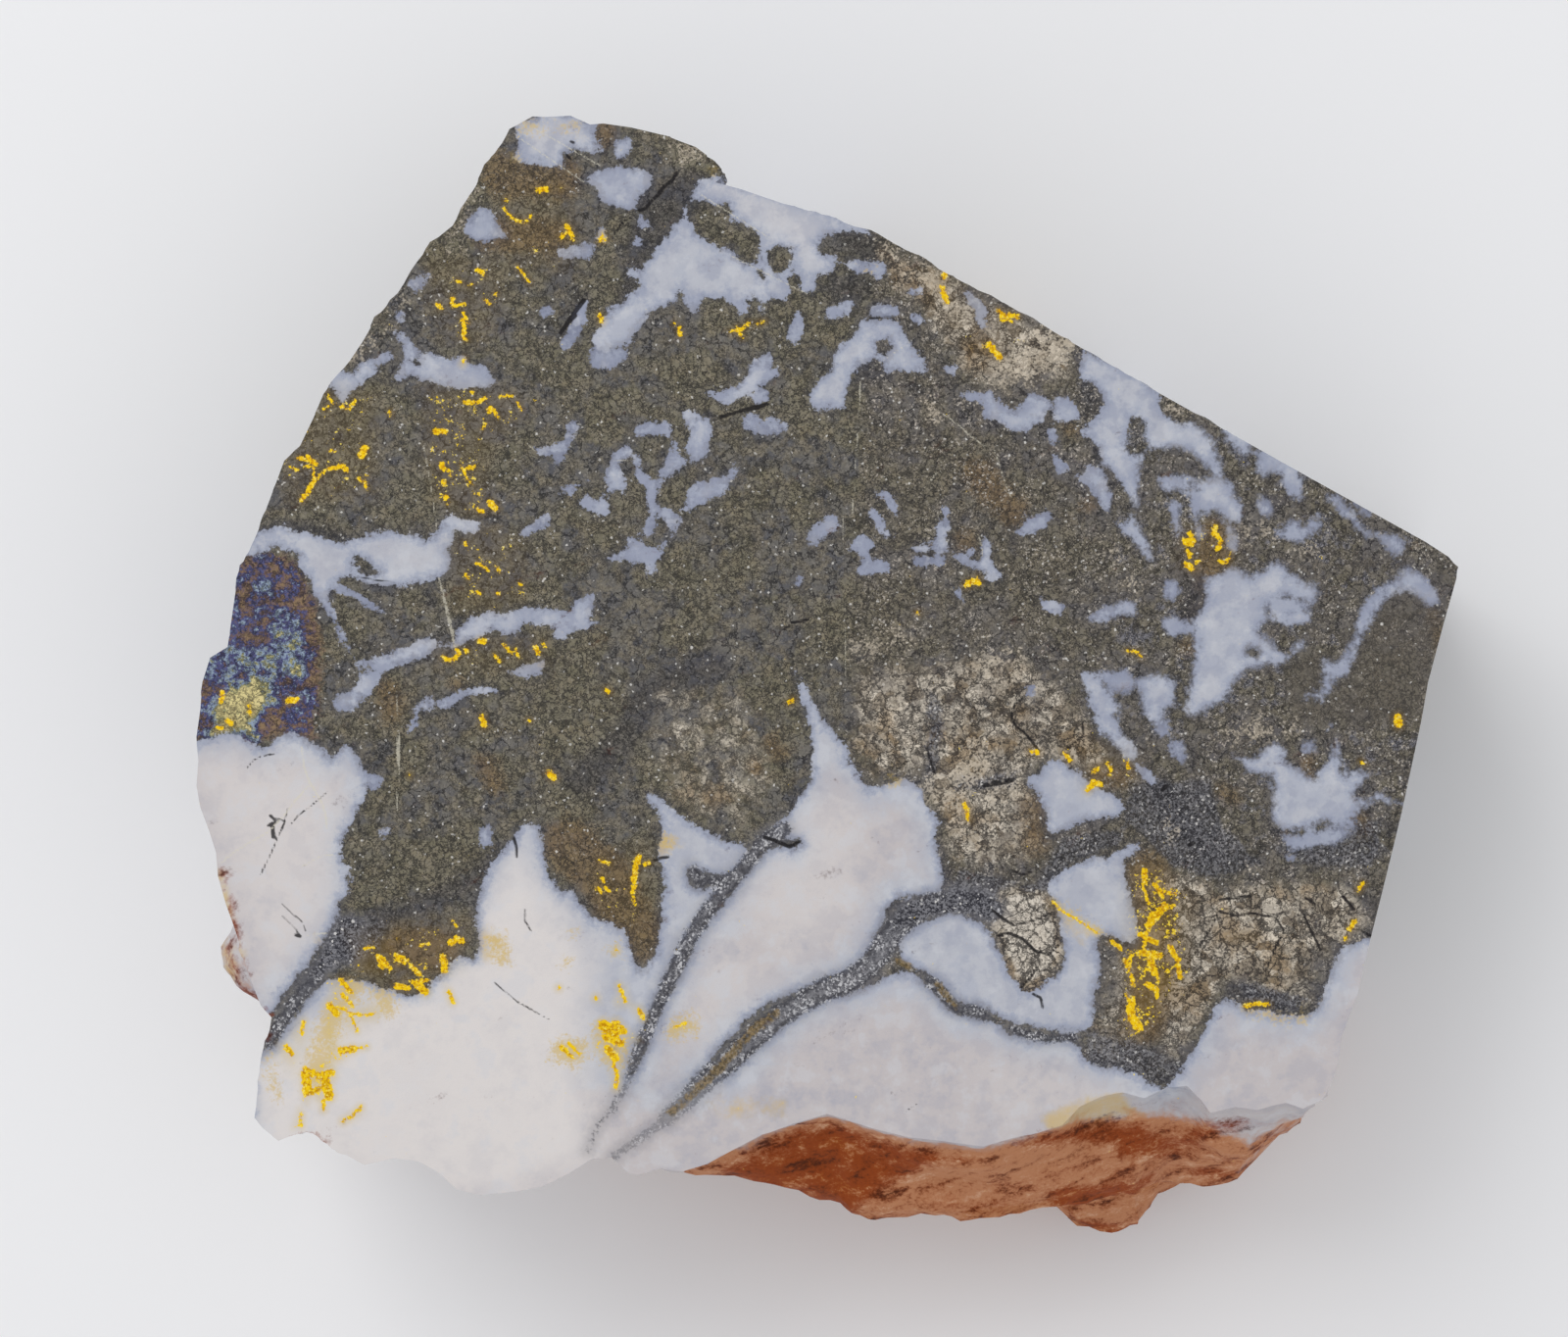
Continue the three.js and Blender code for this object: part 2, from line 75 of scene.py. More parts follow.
# Quartz outlines read from the upper half of the face: name, whiteness, points.
PATCHES_UPPER = [
    ("crest", 0.85, [
        (-16.0, 28.2), (-15.0, 28.5), (-14.5, 28.8), (-13.0, 28.8), (-12.3, 28.3), (-11.8, 28.3),
        (-11.9, 27.4), (-11.3, 26.8), (-12.0, 26.6), (-12.8, 26.9), (-13.4, 26.6), (-13.5, 26.0),
        (-14.6, 26.1), (-15.6, 26.2), (-16.0, 26.4), (-15.7, 27.2), (-15.8, 27.7)]),
    ("crest spot", 0.6, [
        (-10.9, 27.3), (-10.2, 27.65), (-9.8, 27.1), (-10.2, 26.6), (-10.6, 26.3), (-10.9, 26.7)]),
    ("crest streak", 0.8, [
        (-12.6, 25.3), (-11.9, 25.7), (-11.0, 26.0), (-10.0, 25.95), (-9.3, 25.9), (-8.85, 25.6),
        (-9.0, 25.0), (-9.4, 24.6), (-9.7, 24.2), (-9.75, 23.8), (-10.2, 23.7), (-10.9, 24.0),
        (-11.6, 24.2), (-11.7, 24.6), (-11.9, 25.0)]),
    ("below fissure", 0.6, [(-9.7, 23.65), (-9.2, 23.4), (-9.0, 22.9), (-9.6, 22.9)]),
    ("below fissure tail", 0.4, [(-9.7, 22.5), (-9.3, 22.2), (-9.5, 21.9), (-9.9, 21.9)]),
    ("gold rim", 0.5, [(-11.8, 22.8), (-11.4, 22.9), (-11.2, 22.4), (-11.4, 22.1), (-11.9, 22.3)]),
    ("grey pair", 0.6, [
        (-13.9, 22.0), (-13.2, 21.9), (-12.8, 22.0), (-12.3, 22.1), (-11.8, 22.0), (-12.0, 21.4),
        (-12.3, 21.2), (-12.9, 21.35), (-13.5, 21.3), (-13.8, 21.6)]),
    ("upper left", 0.5, [
        (-18.5, 23.0), (-18.1, 23.6), (-17.7, 23.9), (-17.2, 23.8), (-17.0, 23.3), (-16.5, 22.9),
        (-16.3, 22.4), (-16.9, 22.3), (-17.5, 22.1), (-18.1, 22.2), (-18.5, 22.6)]),
    ("left edge spot", 0.45, [
        (-21.2, 20.3), (-20.7, 20.55), (-20.3, 20.5), (-20.5, 20.0), (-21.0, 19.7), (-21.4, 19.9)]),
    ("left edge speck", 0.3, [(-22.0, 18.6), (-21.5, 18.6), (-21.6, 18.1), (-22.1, 18.2)]),
    ("upper bar", 0.87, [
        (-6.5, 25.3), (-5.6, 25.6), (-4.4, 25.2), (-2.2, 24.5), (-0.6, 24.0), (0.4, 23.6), (2.0, 23.0),
        (2.2, 22.55), (1.3, 22.75), (0.7, 22.8), (0.4, 22.5), (0.0, 22.5), (-0.3, 22.3), (-0.45, 21.9),
        (-0.2, 21.5), (0.4, 21.4), (0.5, 20.9), (0.2, 20.6), (-0.2, 20.6), (-0.6, 20.3), (-0.4, 19.7),
        (-0.7, 19.55), (-1.2, 19.6), (-1.4, 19.9), (-1.5, 20.4), (-1.75, 20.65), (-2.0, 20.3), (-2.0, 19.6),
        (-2.2, 19.2), (-2.8, 19.3), (-3.2, 19.0), (-3.3, 18.5), (-3.45, 18.6), (-3.5, 19.1), (-3.8, 19.35),
        (-4.1, 19.1), (-4.1, 18.5), (-4.4, 18.4), (-4.6, 18.9), (-4.9, 19.0), (-5.2, 19.35), (-5.7, 19.3),
        (-6.3, 19.25), (-6.6, 18.9), (-6.7, 18.4), (-7.0, 18.5), (-7.2, 18.9), (-7.5, 19.1), (-8.0, 19.0),
        (-8.6, 18.85), (-9.1, 18.6), (-9.3, 18.1), (-9.7, 17.6), (-10.0, 17.1), (-10.4, 16.85),
        (-11.0, 16.6), (-11.9, 16.9), (-12.0, 17.4), (-11.6, 17.7), (-11.3, 18.3), (-11.2, 18.8),
        (-10.6, 18.95), (-10.3, 19.2), (-9.9, 19.6), (-9.5, 20.05), (-9.7, 20.3), (-10.2, 20.4),
        (-10.3, 20.65), (-9.9, 20.8), (-9.5, 20.7), (-9.3, 21.0), (-9.0, 21.4), (-8.7, 21.9), (-8.3, 22.3),
        (-7.95, 22.7), (-7.9, 23.05), (-7.4, 23.4), (-7.2, 24.0), (-6.9, 24.6)]),
    ("bar tail", 0.4, [
        (-12.4, 16.5), (-11.6, 16.9), (-10.9, 16.7), (-10.2, 16.7), (-10.3, 16.2), (-10.8, 15.8),
        (-11.6, 15.6), (-12.1, 15.9)]),
    ("left of bar", 0.3, [
        (-13.0, 18.6), (-12.3, 19.1), (-12.3, 18.0), (-12.6, 17.3), (-13.2, 16.8), (-13.7, 16.3),
        (-13.5, 17.1), (-13.1, 17.8)]),
    ("far left of bar", 0.28, [(-14.8, 18.6), (-14.3, 19.0), (-14.0, 18.6), (-14.4, 18.2)]),
    ("strip blue", 0.5, [
        (0.9, 21.1), (1.6, 21.3), (2.4, 21.1), (3.0, 21.0), (3.1, 20.5), (2.6, 20.3), (2.1, 20.5),
        (1.4, 20.5)]),
    ("strip left", 0.75, [
        (-0.2, 18.3), (0.3, 18.2), (1.2, 18.5), (1.4, 19.1), (1.0, 19.15), (0.5, 18.95), (0.0, 18.8)]),
    ("right bar top", 0.6, [
        (2.2, 19.0), (3.0, 19.0), (3.6, 18.8), (3.8, 18.35), (3.0, 18.33), (2.2, 18.25)]),
    ("right bar", 0.9, [
        (2.2, 18.2), (3.0, 18.25), (3.7, 18.2), (4.0, 17.4), (4.3, 17.0), (4.7, 16.6), (5.0, 16.0),
        (5.0, 15.45), (4.4, 15.5), (3.6, 15.7), (3.0, 15.45), (2.9, 16.1), (2.4, 16.2), (2.0, 15.9),
        (1.6, 15.9), (1.4, 15.4), (1.2, 15.0), (1.0, 14.3), (0.9, 13.65), (0.4, 13.7), (0.0, 13.6),
        (-0.4, 13.5), (-0.9, 13.9), (-0.9, 14.6), (-0.6, 15.0), (-0.1, 15.4), (0.3, 15.8), (0.3, 16.4),
        (0.8, 17.0), (1.3, 17.3), (1.6, 17.8), (1.8, 18.1)]),
    ("finger", 0.55, [
        (7.0, 19.6), (7.4, 19.65), (7.8, 19.1), (8.2, 18.7), (8.0, 18.2), (8.4, 17.8), (7.9, 17.6),
        (7.6, 18.0), (7.6, 18.6), (7.1, 19.1)]),
    ("finger spot", 0.45, [(4.3, 18.5), (4.9, 18.5), (5.0, 18.1), (4.4, 18.0)]),
    ("finger spot two", 0.35, [(4.1, 19.8), (4.9, 19.8), (4.8, 19.4), (4.2, 19.4)]),
    ("finger spot three", 0.4, [(6.0, 15.8), (6.5, 15.9), (6.6, 15.4), (6.1, 15.4)]),
    ("left vein tip", 0.85, [
        (-25.6, 15.0), (-24.8, 15.6), (-24.2, 15.5), (-23.9, 16.0), (-23.3, 16.2), (-22.8, 16.6),
        (-22.3, 16.6), (-22.2, 16.2), (-22.8, 15.8), (-23.2, 15.4), (-23.6, 15.0), (-24.1, 14.75),
        (-24.5, 14.2), (-24.8, 14.05), (-25.1, 14.5)]),
    ("left vein", 0.85, [
        (-22.3, 15.0), (-21.9, 15.7), (-21.5, 16.3), (-21.7, 16.9), (-22.1, 17.5), (-21.5, 17.6),
        (-21.2, 17.0), (-20.8, 16.5), (-20.3, 16.65), (-19.9, 16.35), (-19.3, 16.1), (-18.7, 16.4),
        (-18.2, 16.0), (-17.6, 15.9), (-17.2, 15.4), (-16.9, 15.05), (-17.5, 14.6), (-18.4, 14.75),
        (-19.0, 14.6), (-19.8, 14.75), (-20.4, 15.0), (-21.2, 15.3), (-21.8, 15.1)]),
    ("left patch", 0.97, [
        (-29.9, 6.5), (-29.3, 7.1), (-28.9, 7.4), (-28.5, 7.5), (-28.1, 7.75), (-27.8, 7.75), (-27.5, 7.45),
        (-27.0, 7.4), (-26.5, 7.4), (-26.0, 7.2), (-25.4, 6.95), (-24.8, 6.9), (-24.2, 7.0), (-23.6, 7.15),
        (-23.0, 7.4), (-22.3, 7.4), (-21.6, 7.25), (-20.9, 7.2), (-20.6, 7.15), (-20.4, 6.95),
        (-20.1, 7.15), (-19.8, 7.6), (-19.6, 8.1), (-19.3, 8.25), (-18.9, 8.1), (-18.3, 7.95), (-17.8, 7.8),
        (-17.9, 7.4), (-18.5, 7.3), (-19.0, 7.3), (-19.1, 6.9), (-19.3, 6.5), (-19.2, 6.0), (-19.3, 5.5),
        (-19.6, 5.1), (-20.0, 4.95), (-20.6, 4.8), (-21.2, 4.7), (-21.8, 4.6), (-22.4, 4.55), (-23.0, 4.6),
        (-23.5, 4.7), (-23.8, 4.9), (-24.3, 5.1), (-24.8, 5.0), (-25.2, 4.6), (-25.4, 4.2), (-25.5, 3.7),
        (-25.7, 3.5), (-25.9, 4.0), (-26.4, 4.2), (-26.3, 4.7), (-26.5, 5.2), (-26.9, 5.6), (-27.0, 6.1),
        (-27.4, 6.5), (-28.0, 6.6), (-28.7, 6.3), (-29.3, 6.15), (-30.0, 6.0)]),
    ("left thread", 0.35, [
        (-25.9, 4.0), (-25.6, 3.9), (-25.0, 2.9), (-24.4, 1.7), (-24.1, 1.0), (-24.4, 1.1), (-24.9, 1.9),
        (-25.4, 3.0)]),
    ("left hook", 0.35, [
        (-25.2, 4.75), (-24.5, 4.55), (-23.8, 4.25), (-23.1, 3.65), (-22.5, 3.3), (-22.6, 3.1),
        (-23.3, 3.4), (-24.0, 3.95), (-24.7, 4.25), (-25.2, 4.45)]),
    ("left band", 0.7, [
        (-24.0, 0.5), (-23.9, 0.9), (-23.3, 0.9), (-22.8, 1.0), (-22.3, 1.2), (-21.5, 1.5), (-21.0, 1.9),
        (-20.2, 2.0), (-19.7, 1.8), (-19.3, 1.7), (-19.0, 1.6), (-18.9, 2.4), (-18.6, 2.8), (-18.0, 3.1),
        (-17.4, 3.3), (-16.6, 3.2), (-16.0, 3.4), (-15.3, 3.5), (-14.6, 3.6), (-14.2, 3.4), (-13.5, 3.35),
        (-13.1, 3.5), (-12.8, 3.9), (-12.4, 4.0), (-12.0, 4.2), (-11.7, 4.1), (-11.9, 3.6), (-12.0, 3.2),
        (-12.0, 2.9), (-11.4, 2.6), (-12.2, 2.5), (-12.6, 2.4), (-13.0, 2.2), (-13.4, 2.0), (-13.9, 1.8),
        (-14.0, 2.3), (-14.2, 2.6), (-14.9, 2.7), (-15.4, 2.7), (-15.6, 2.3), (-16.0, 2.1), (-16.6, 2.2),
        (-17.0, 2.3), (-17.5, 2.2), (-18.0, 2.0), (-18.5, 1.7), (-18.9, 1.45), (-19.6, 1.5), (-20.1, 1.4),
        (-20.3, 1.0), (-20.9, 0.8), (-21.6, 0.6), (-22.2, 0.45), (-22.6, 0.2)]),
    ("hook", 0.45, [
        (-13.1, 13.0), (-12.7, 13.05), (-12.6, 12.6), (-12.9, 12.3), (-13.0, 11.7), (-13.3, 11.4),
        (-13.5, 11.0), (-13.9, 10.5), (-14.1, 10.6), (-13.8, 11.1), (-14.2, 11.3), (-14.7, 11.3),
        (-14.9, 11.7), (-14.4, 11.7), (-13.8, 11.8), (-13.5, 12.1), (-13.3, 12.6)]),
    ("hook spot", 0.3, [
        (-13.6, 9.6), (-13.0, 9.7), (-12.4, 10.0), (-12.2, 10.0), (-12.6, 9.6), (-13.2, 9.35), (-13.7, 9.3)]),
    ("left arrow", 0.45, [
        (-15.7, 7.1), (-15.5, 7.5), (-15.0, 7.8), (-14.5, 8.3), (-14.0, 8.3), (-14.1, 7.9), (-14.5, 7.5),
        (-15.0, 7.3), (-15.3, 7.0)]),
    ("left arm", 0.7, [
        (-11.1, 10.9), (-11.0, 11.3), (-10.5, 11.6), (-10.2, 11.85), (-10.0, 11.8), (-9.9, 11.4),
        (-10.4, 11.0), (-10.6, 10.8), (-10.4, 10.3), (-10.3, 9.8), (-10.3, 9.4), (-10.9, 9.4),
        (-11.3, 9.15), (-11.1, 8.8), (-11.15, 8.3), (-11.6, 8.2), (-12.2, 8.35), (-12.6, 8.6), (-12.7, 8.9),
        (-12.3, 9.3), (-12.0, 9.0), (-11.6, 9.1), (-11.4, 9.4), (-11.1, 9.7), (-11.3, 10.0), (-11.4, 10.3)]),
    ("fork", 0.6, [
        (-9.9, 11.4), (-9.6, 11.3), (-9.5, 10.7), (-9.2, 10.2), (-8.9, 10.05), (-8.6, 10.1), (-8.5, 10.6),
        (-8.3, 10.9), (-8.1, 11.6), (-7.9, 12.0), (-7.6, 11.9), (-7.7, 11.3), (-7.3, 11.0), (-7.0, 10.9),
        (-7.6, 10.4), (-8.0, 10.2), (-8.4, 10.0), (-8.6, 9.6), (-8.7, 9.1), (-8.6, 8.7), (-8.0, 8.5),
        (-7.6, 8.3), (-7.4, 8.0), (-7.6, 7.6), (-7.8, 7.1), (-8.0, 7.3), (-8.1, 7.8), (-8.5, 8.1),
        (-9.0, 8.3), (-9.1, 8.8), (-9.3, 9.3), (-9.5, 9.9), (-9.8, 10.2), (-9.9, 10.8)]),
    ("fork roof", 0.45, [
        (-9.6, 12.9), (-9.0, 13.05), (-8.5, 12.95), (-8.2, 13.0), (-7.8, 12.7), (-7.9, 12.4), (-8.4, 12.2),
        (-9.0, 12.3), (-9.6, 12.2), (-9.8, 12.5)]),
    ("pillar", 0.78, [
        (-7.4, 13.5), (-7.0, 13.6), (-6.6, 13.3), (-6.1, 13.3), (-5.9, 12.9), (-6.0, 12.2), (-6.0, 11.6),
        (-6.2, 11.2), (-6.6, 10.95), (-7.0, 11.0), (-7.2, 11.4), (-7.1, 12.0), (-7.0, 12.6), (-7.4, 13.0)]),
    ("wing", 0.65, [
        (-4.4, 10.6), (-4.8, 11.0), (-5.1, 10.4), (-5.6, 10.1), (-6.2, 10.0), (-6.7, 9.8), (-7.0, 9.6),
        (-7.2, 9.2), (-7.2, 8.8), (-7.4, 8.4), (-7.0, 8.4), (-6.7, 8.6), (-6.0, 8.9), (-5.5, 9.2),
        (-5.1, 9.5), (-4.9, 10.0)]),
    ("low patch", 0.68, [
        (-11.3, 6.0), (-10.9, 6.25), (-10.6, 6.3), (-10.2, 6.6), (-10.2, 7.0), (-9.8, 7.0), (-9.3, 7.1),
        (-9.2, 6.6), (-8.8, 6.6), (-8.5, 6.9), (-8.0, 7.0), (-8.3, 6.4), (-8.5, 6.1), (-8.7, 5.8),
        (-8.8, 5.4), (-9.1, 5.0), (-9.2, 5.5), (-9.4, 5.8), (-9.9, 5.7), (-10.4, 5.9), (-10.9, 5.8)]),
    ("low patch haze", 0.38, [
        (-9.6, 7.1), (-9.3, 7.8), (-8.9, 8.2), (-8.6, 7.9), (-8.9, 7.3), (-9.2, 6.9)]),
    ("bird", 0.75, [
        (-6.3, 14.4), (-5.9, 14.65), (-5.5, 14.5), (-5.0, 14.75), (-4.5, 14.95), (-4.2, 15.4), (-3.9, 15.9),
        (-3.4, 16.3), (-2.9, 16.6), (-2.75, 16.3), (-2.9, 15.8), (-2.4, 15.5), (-2.8, 15.1), (-3.4, 14.8),
        (-3.9, 14.4), (-4.6, 14.15), (-5.1, 13.9), (-5.4, 13.95), (-5.7, 14.2)]),
    ("bird haze", 0.4, [(-3.9, 14.3), (-3.4, 14.8), (-2.9, 14.7), (-2.9, 14.1), (-3.5, 13.9)]),
    ("under bird", 0.5, [
        (-4.4, 13.2), (-4.0, 13.5), (-3.6, 13.3), (-3.2, 12.9), (-2.8, 13.3), (-2.4, 12.9), (-2.0, 12.8),
        (-2.2, 12.4), (-2.8, 12.3), (-3.4, 12.2), (-3.9, 12.4), (-4.3, 12.7)]),
    ("midline patch", 0.72, [
        (-1.0, 7.0), (-0.9, 7.5), (-0.5, 7.8), (0.0, 8.2), (0.4, 8.1), (0.6, 7.7), (0.3, 7.3), (-0.1, 7.15),
        (-0.5, 6.8), (-0.9, 6.7)]),
    ("midline speck", 0.4, [(-1.8, 4.9), (-1.5, 5.2), (-1.2, 4.9), (-1.5, 4.6)]),
    ("haze by bar", 0.33, [
        (-2.1, 17.4), (-1.7, 18.5), (-1.3, 18.6), (-1.1, 17.8), (-1.4, 17.0), (-1.9, 16.8)]),
    ("low haze", 0.35, [
        (-16.4, 0.2), (-15.6, 0.6), (-14.9, 0.7), (-14.4, 0.8), (-14.5, 0.1), (-15.4, -0.1)]),
    ("right one", 0.6, [
        (2.2, 9.5), (2.5, 9.45), (3.0, 9.5), (3.4, 9.2), (3.5, 8.8), (3.5, 8.3), (3.2, 8.5), (3.0, 8.9),
        (2.6, 9.1)]),
    ("right two", 0.6, [
        (2.1, 8.4), (2.4, 8.6), (2.9, 8.1), (3.1, 7.6), (3.3, 7.2), (3.0, 7.0), (2.6, 7.5), (2.3, 7.9)]),
    ("right three", 0.55, [
        (1.3, 6.9), (1.6, 7.2), (2.0, 7.25), (2.5, 6.9), (2.5, 6.6), (2.1, 6.4), (2.2, 6.0), (2.7, 5.9),
        (3.2, 5.9), (3.3, 5.6), (2.8, 5.3), (2.2, 5.2), (1.7, 5.1), (1.6, 5.5), (1.8, 6.0), (1.6, 6.3),
        (1.2, 6.4)]),
    ("spike", 0.55, [
        (5.9, 8.5), (6.1, 8.8), (6.2, 8.2), (6.3, 7.6), (6.1, 7.1), (6.3, 6.8), (6.2, 6.4), (5.7, 6.3),
        (5.2, 6.4), (4.6, 6.3), (4.2, 6.5), (4.6, 6.8), (5.1, 6.8), (5.5, 7.1), (5.6, 7.6), (5.8, 8.0)]),
    ("spike haze", 0.35, [
        (3.8, 6.2), (4.5, 6.0), (5.2, 6.1), (6.0, 6.0), (5.8, 5.7), (5.0, 5.5), (4.4, 5.8)]),
    ("leaf", 0.6, [
        (6.5, 6.2), (7.1, 6.4), (7.5, 6.4), (7.4, 6.0), (7.7, 5.9), (7.9, 6.6), (8.0, 7.2), (8.3, 6.9),
        (8.4, 6.2), (8.6, 5.7), (8.9, 5.3), (8.9, 4.9), (8.5, 4.7), (8.2, 4.9), (8.0, 5.2), (7.5, 5.4),
        (6.9, 5.7), (6.5, 6.0)]),
    ("leaf spot", 0.35, [(6.3, 4.6), (6.8, 4.5), (7.0, 4.1), (7.0, 3.7), (6.7, 4.0)]),
    ("diamond", 0.5, [
        (10.0, 8.2), (10.5, 8.2), (11.0, 8.5), (11.5, 8.6), (11.5, 8.0), (11.2, 7.6), (10.6, 7.3),
        (9.7, 7.2), (9.5, 7.4), (9.9, 7.6), (10.2, 7.9)]),
    ("fish", 0.65, [
        (13.2, 3.0), (13.6, 3.2), (14.1, 3.6), (14.5, 3.7), (14.9, 3.7), (15.2, 3.9), (15.7, 3.6),
        (15.8, 3.2), (15.3, 3.1), (14.7, 3.0), (14.0, 2.85), (13.6, 2.8)]),
    ("fish haze", 0.3, [(10.6, 4.3), (11.1, 4.0), (11.6, 3.8), (12.3, 3.5), (12.0, 3.1), (11.2, 3.3)]),
    ("net west", 0.7, [
        (6.6, 14.7), (7.2, 14.45), (7.8, 14.5), (8.3, 14.5), (8.8, 14.2), (9.0, 13.8), (9.4, 13.5),
        (9.9, 13.8), (10.1, 14.3), (10.4, 14.6), (10.9, 14.3), (11.4, 14.0), (11.5, 13.7), (11.1, 13.4),
        (11.0, 13.0), (10.5, 12.8), (10.2, 12.4), (9.6, 12.3), (9.1, 12.8), (8.6, 13.0), (8.2, 13.1),
        (8.0, 13.5), (7.9, 13.9), (7.3, 14.1), (6.8, 14.3)]),
    ("net disc", 0.7, [
        (11.5, 13.9), (11.8, 14.3), (12.3, 14.3), (12.7, 14.0), (12.9, 13.6), (12.9, 13.1), (12.3, 13.0),
        (11.7, 13.1), (11.5, 13.4)]),
    ("net speck", 0.5, [
        (11.2, 12.6), (11.5, 12.65), (11.9, 12.3), (11.8, 11.9), (11.6, 11.7), (11.3, 12.1)]),
    ("net speck low", 0.4, [
        (11.5, 11.3), (11.8, 11.2), (12.1, 10.9), (12.4, 10.6), (12.1, 10.2), (11.7, 10.3), (11.6, 10.8)]),
    ("net island", 0.65, [
        (12.6, 10.2), (13.0, 10.4), (13.3, 10.8), (13.7, 10.7), (14.0, 10.9), (14.1, 10.4), (14.3, 10.1),
        (14.4, 9.7), (14.6, 9.2), (14.5, 8.6), (14.3, 8.1), (14.1, 8.5), (13.9, 9.0), (13.6, 9.3),
        (13.4, 9.7), (12.9, 9.8)]),
]

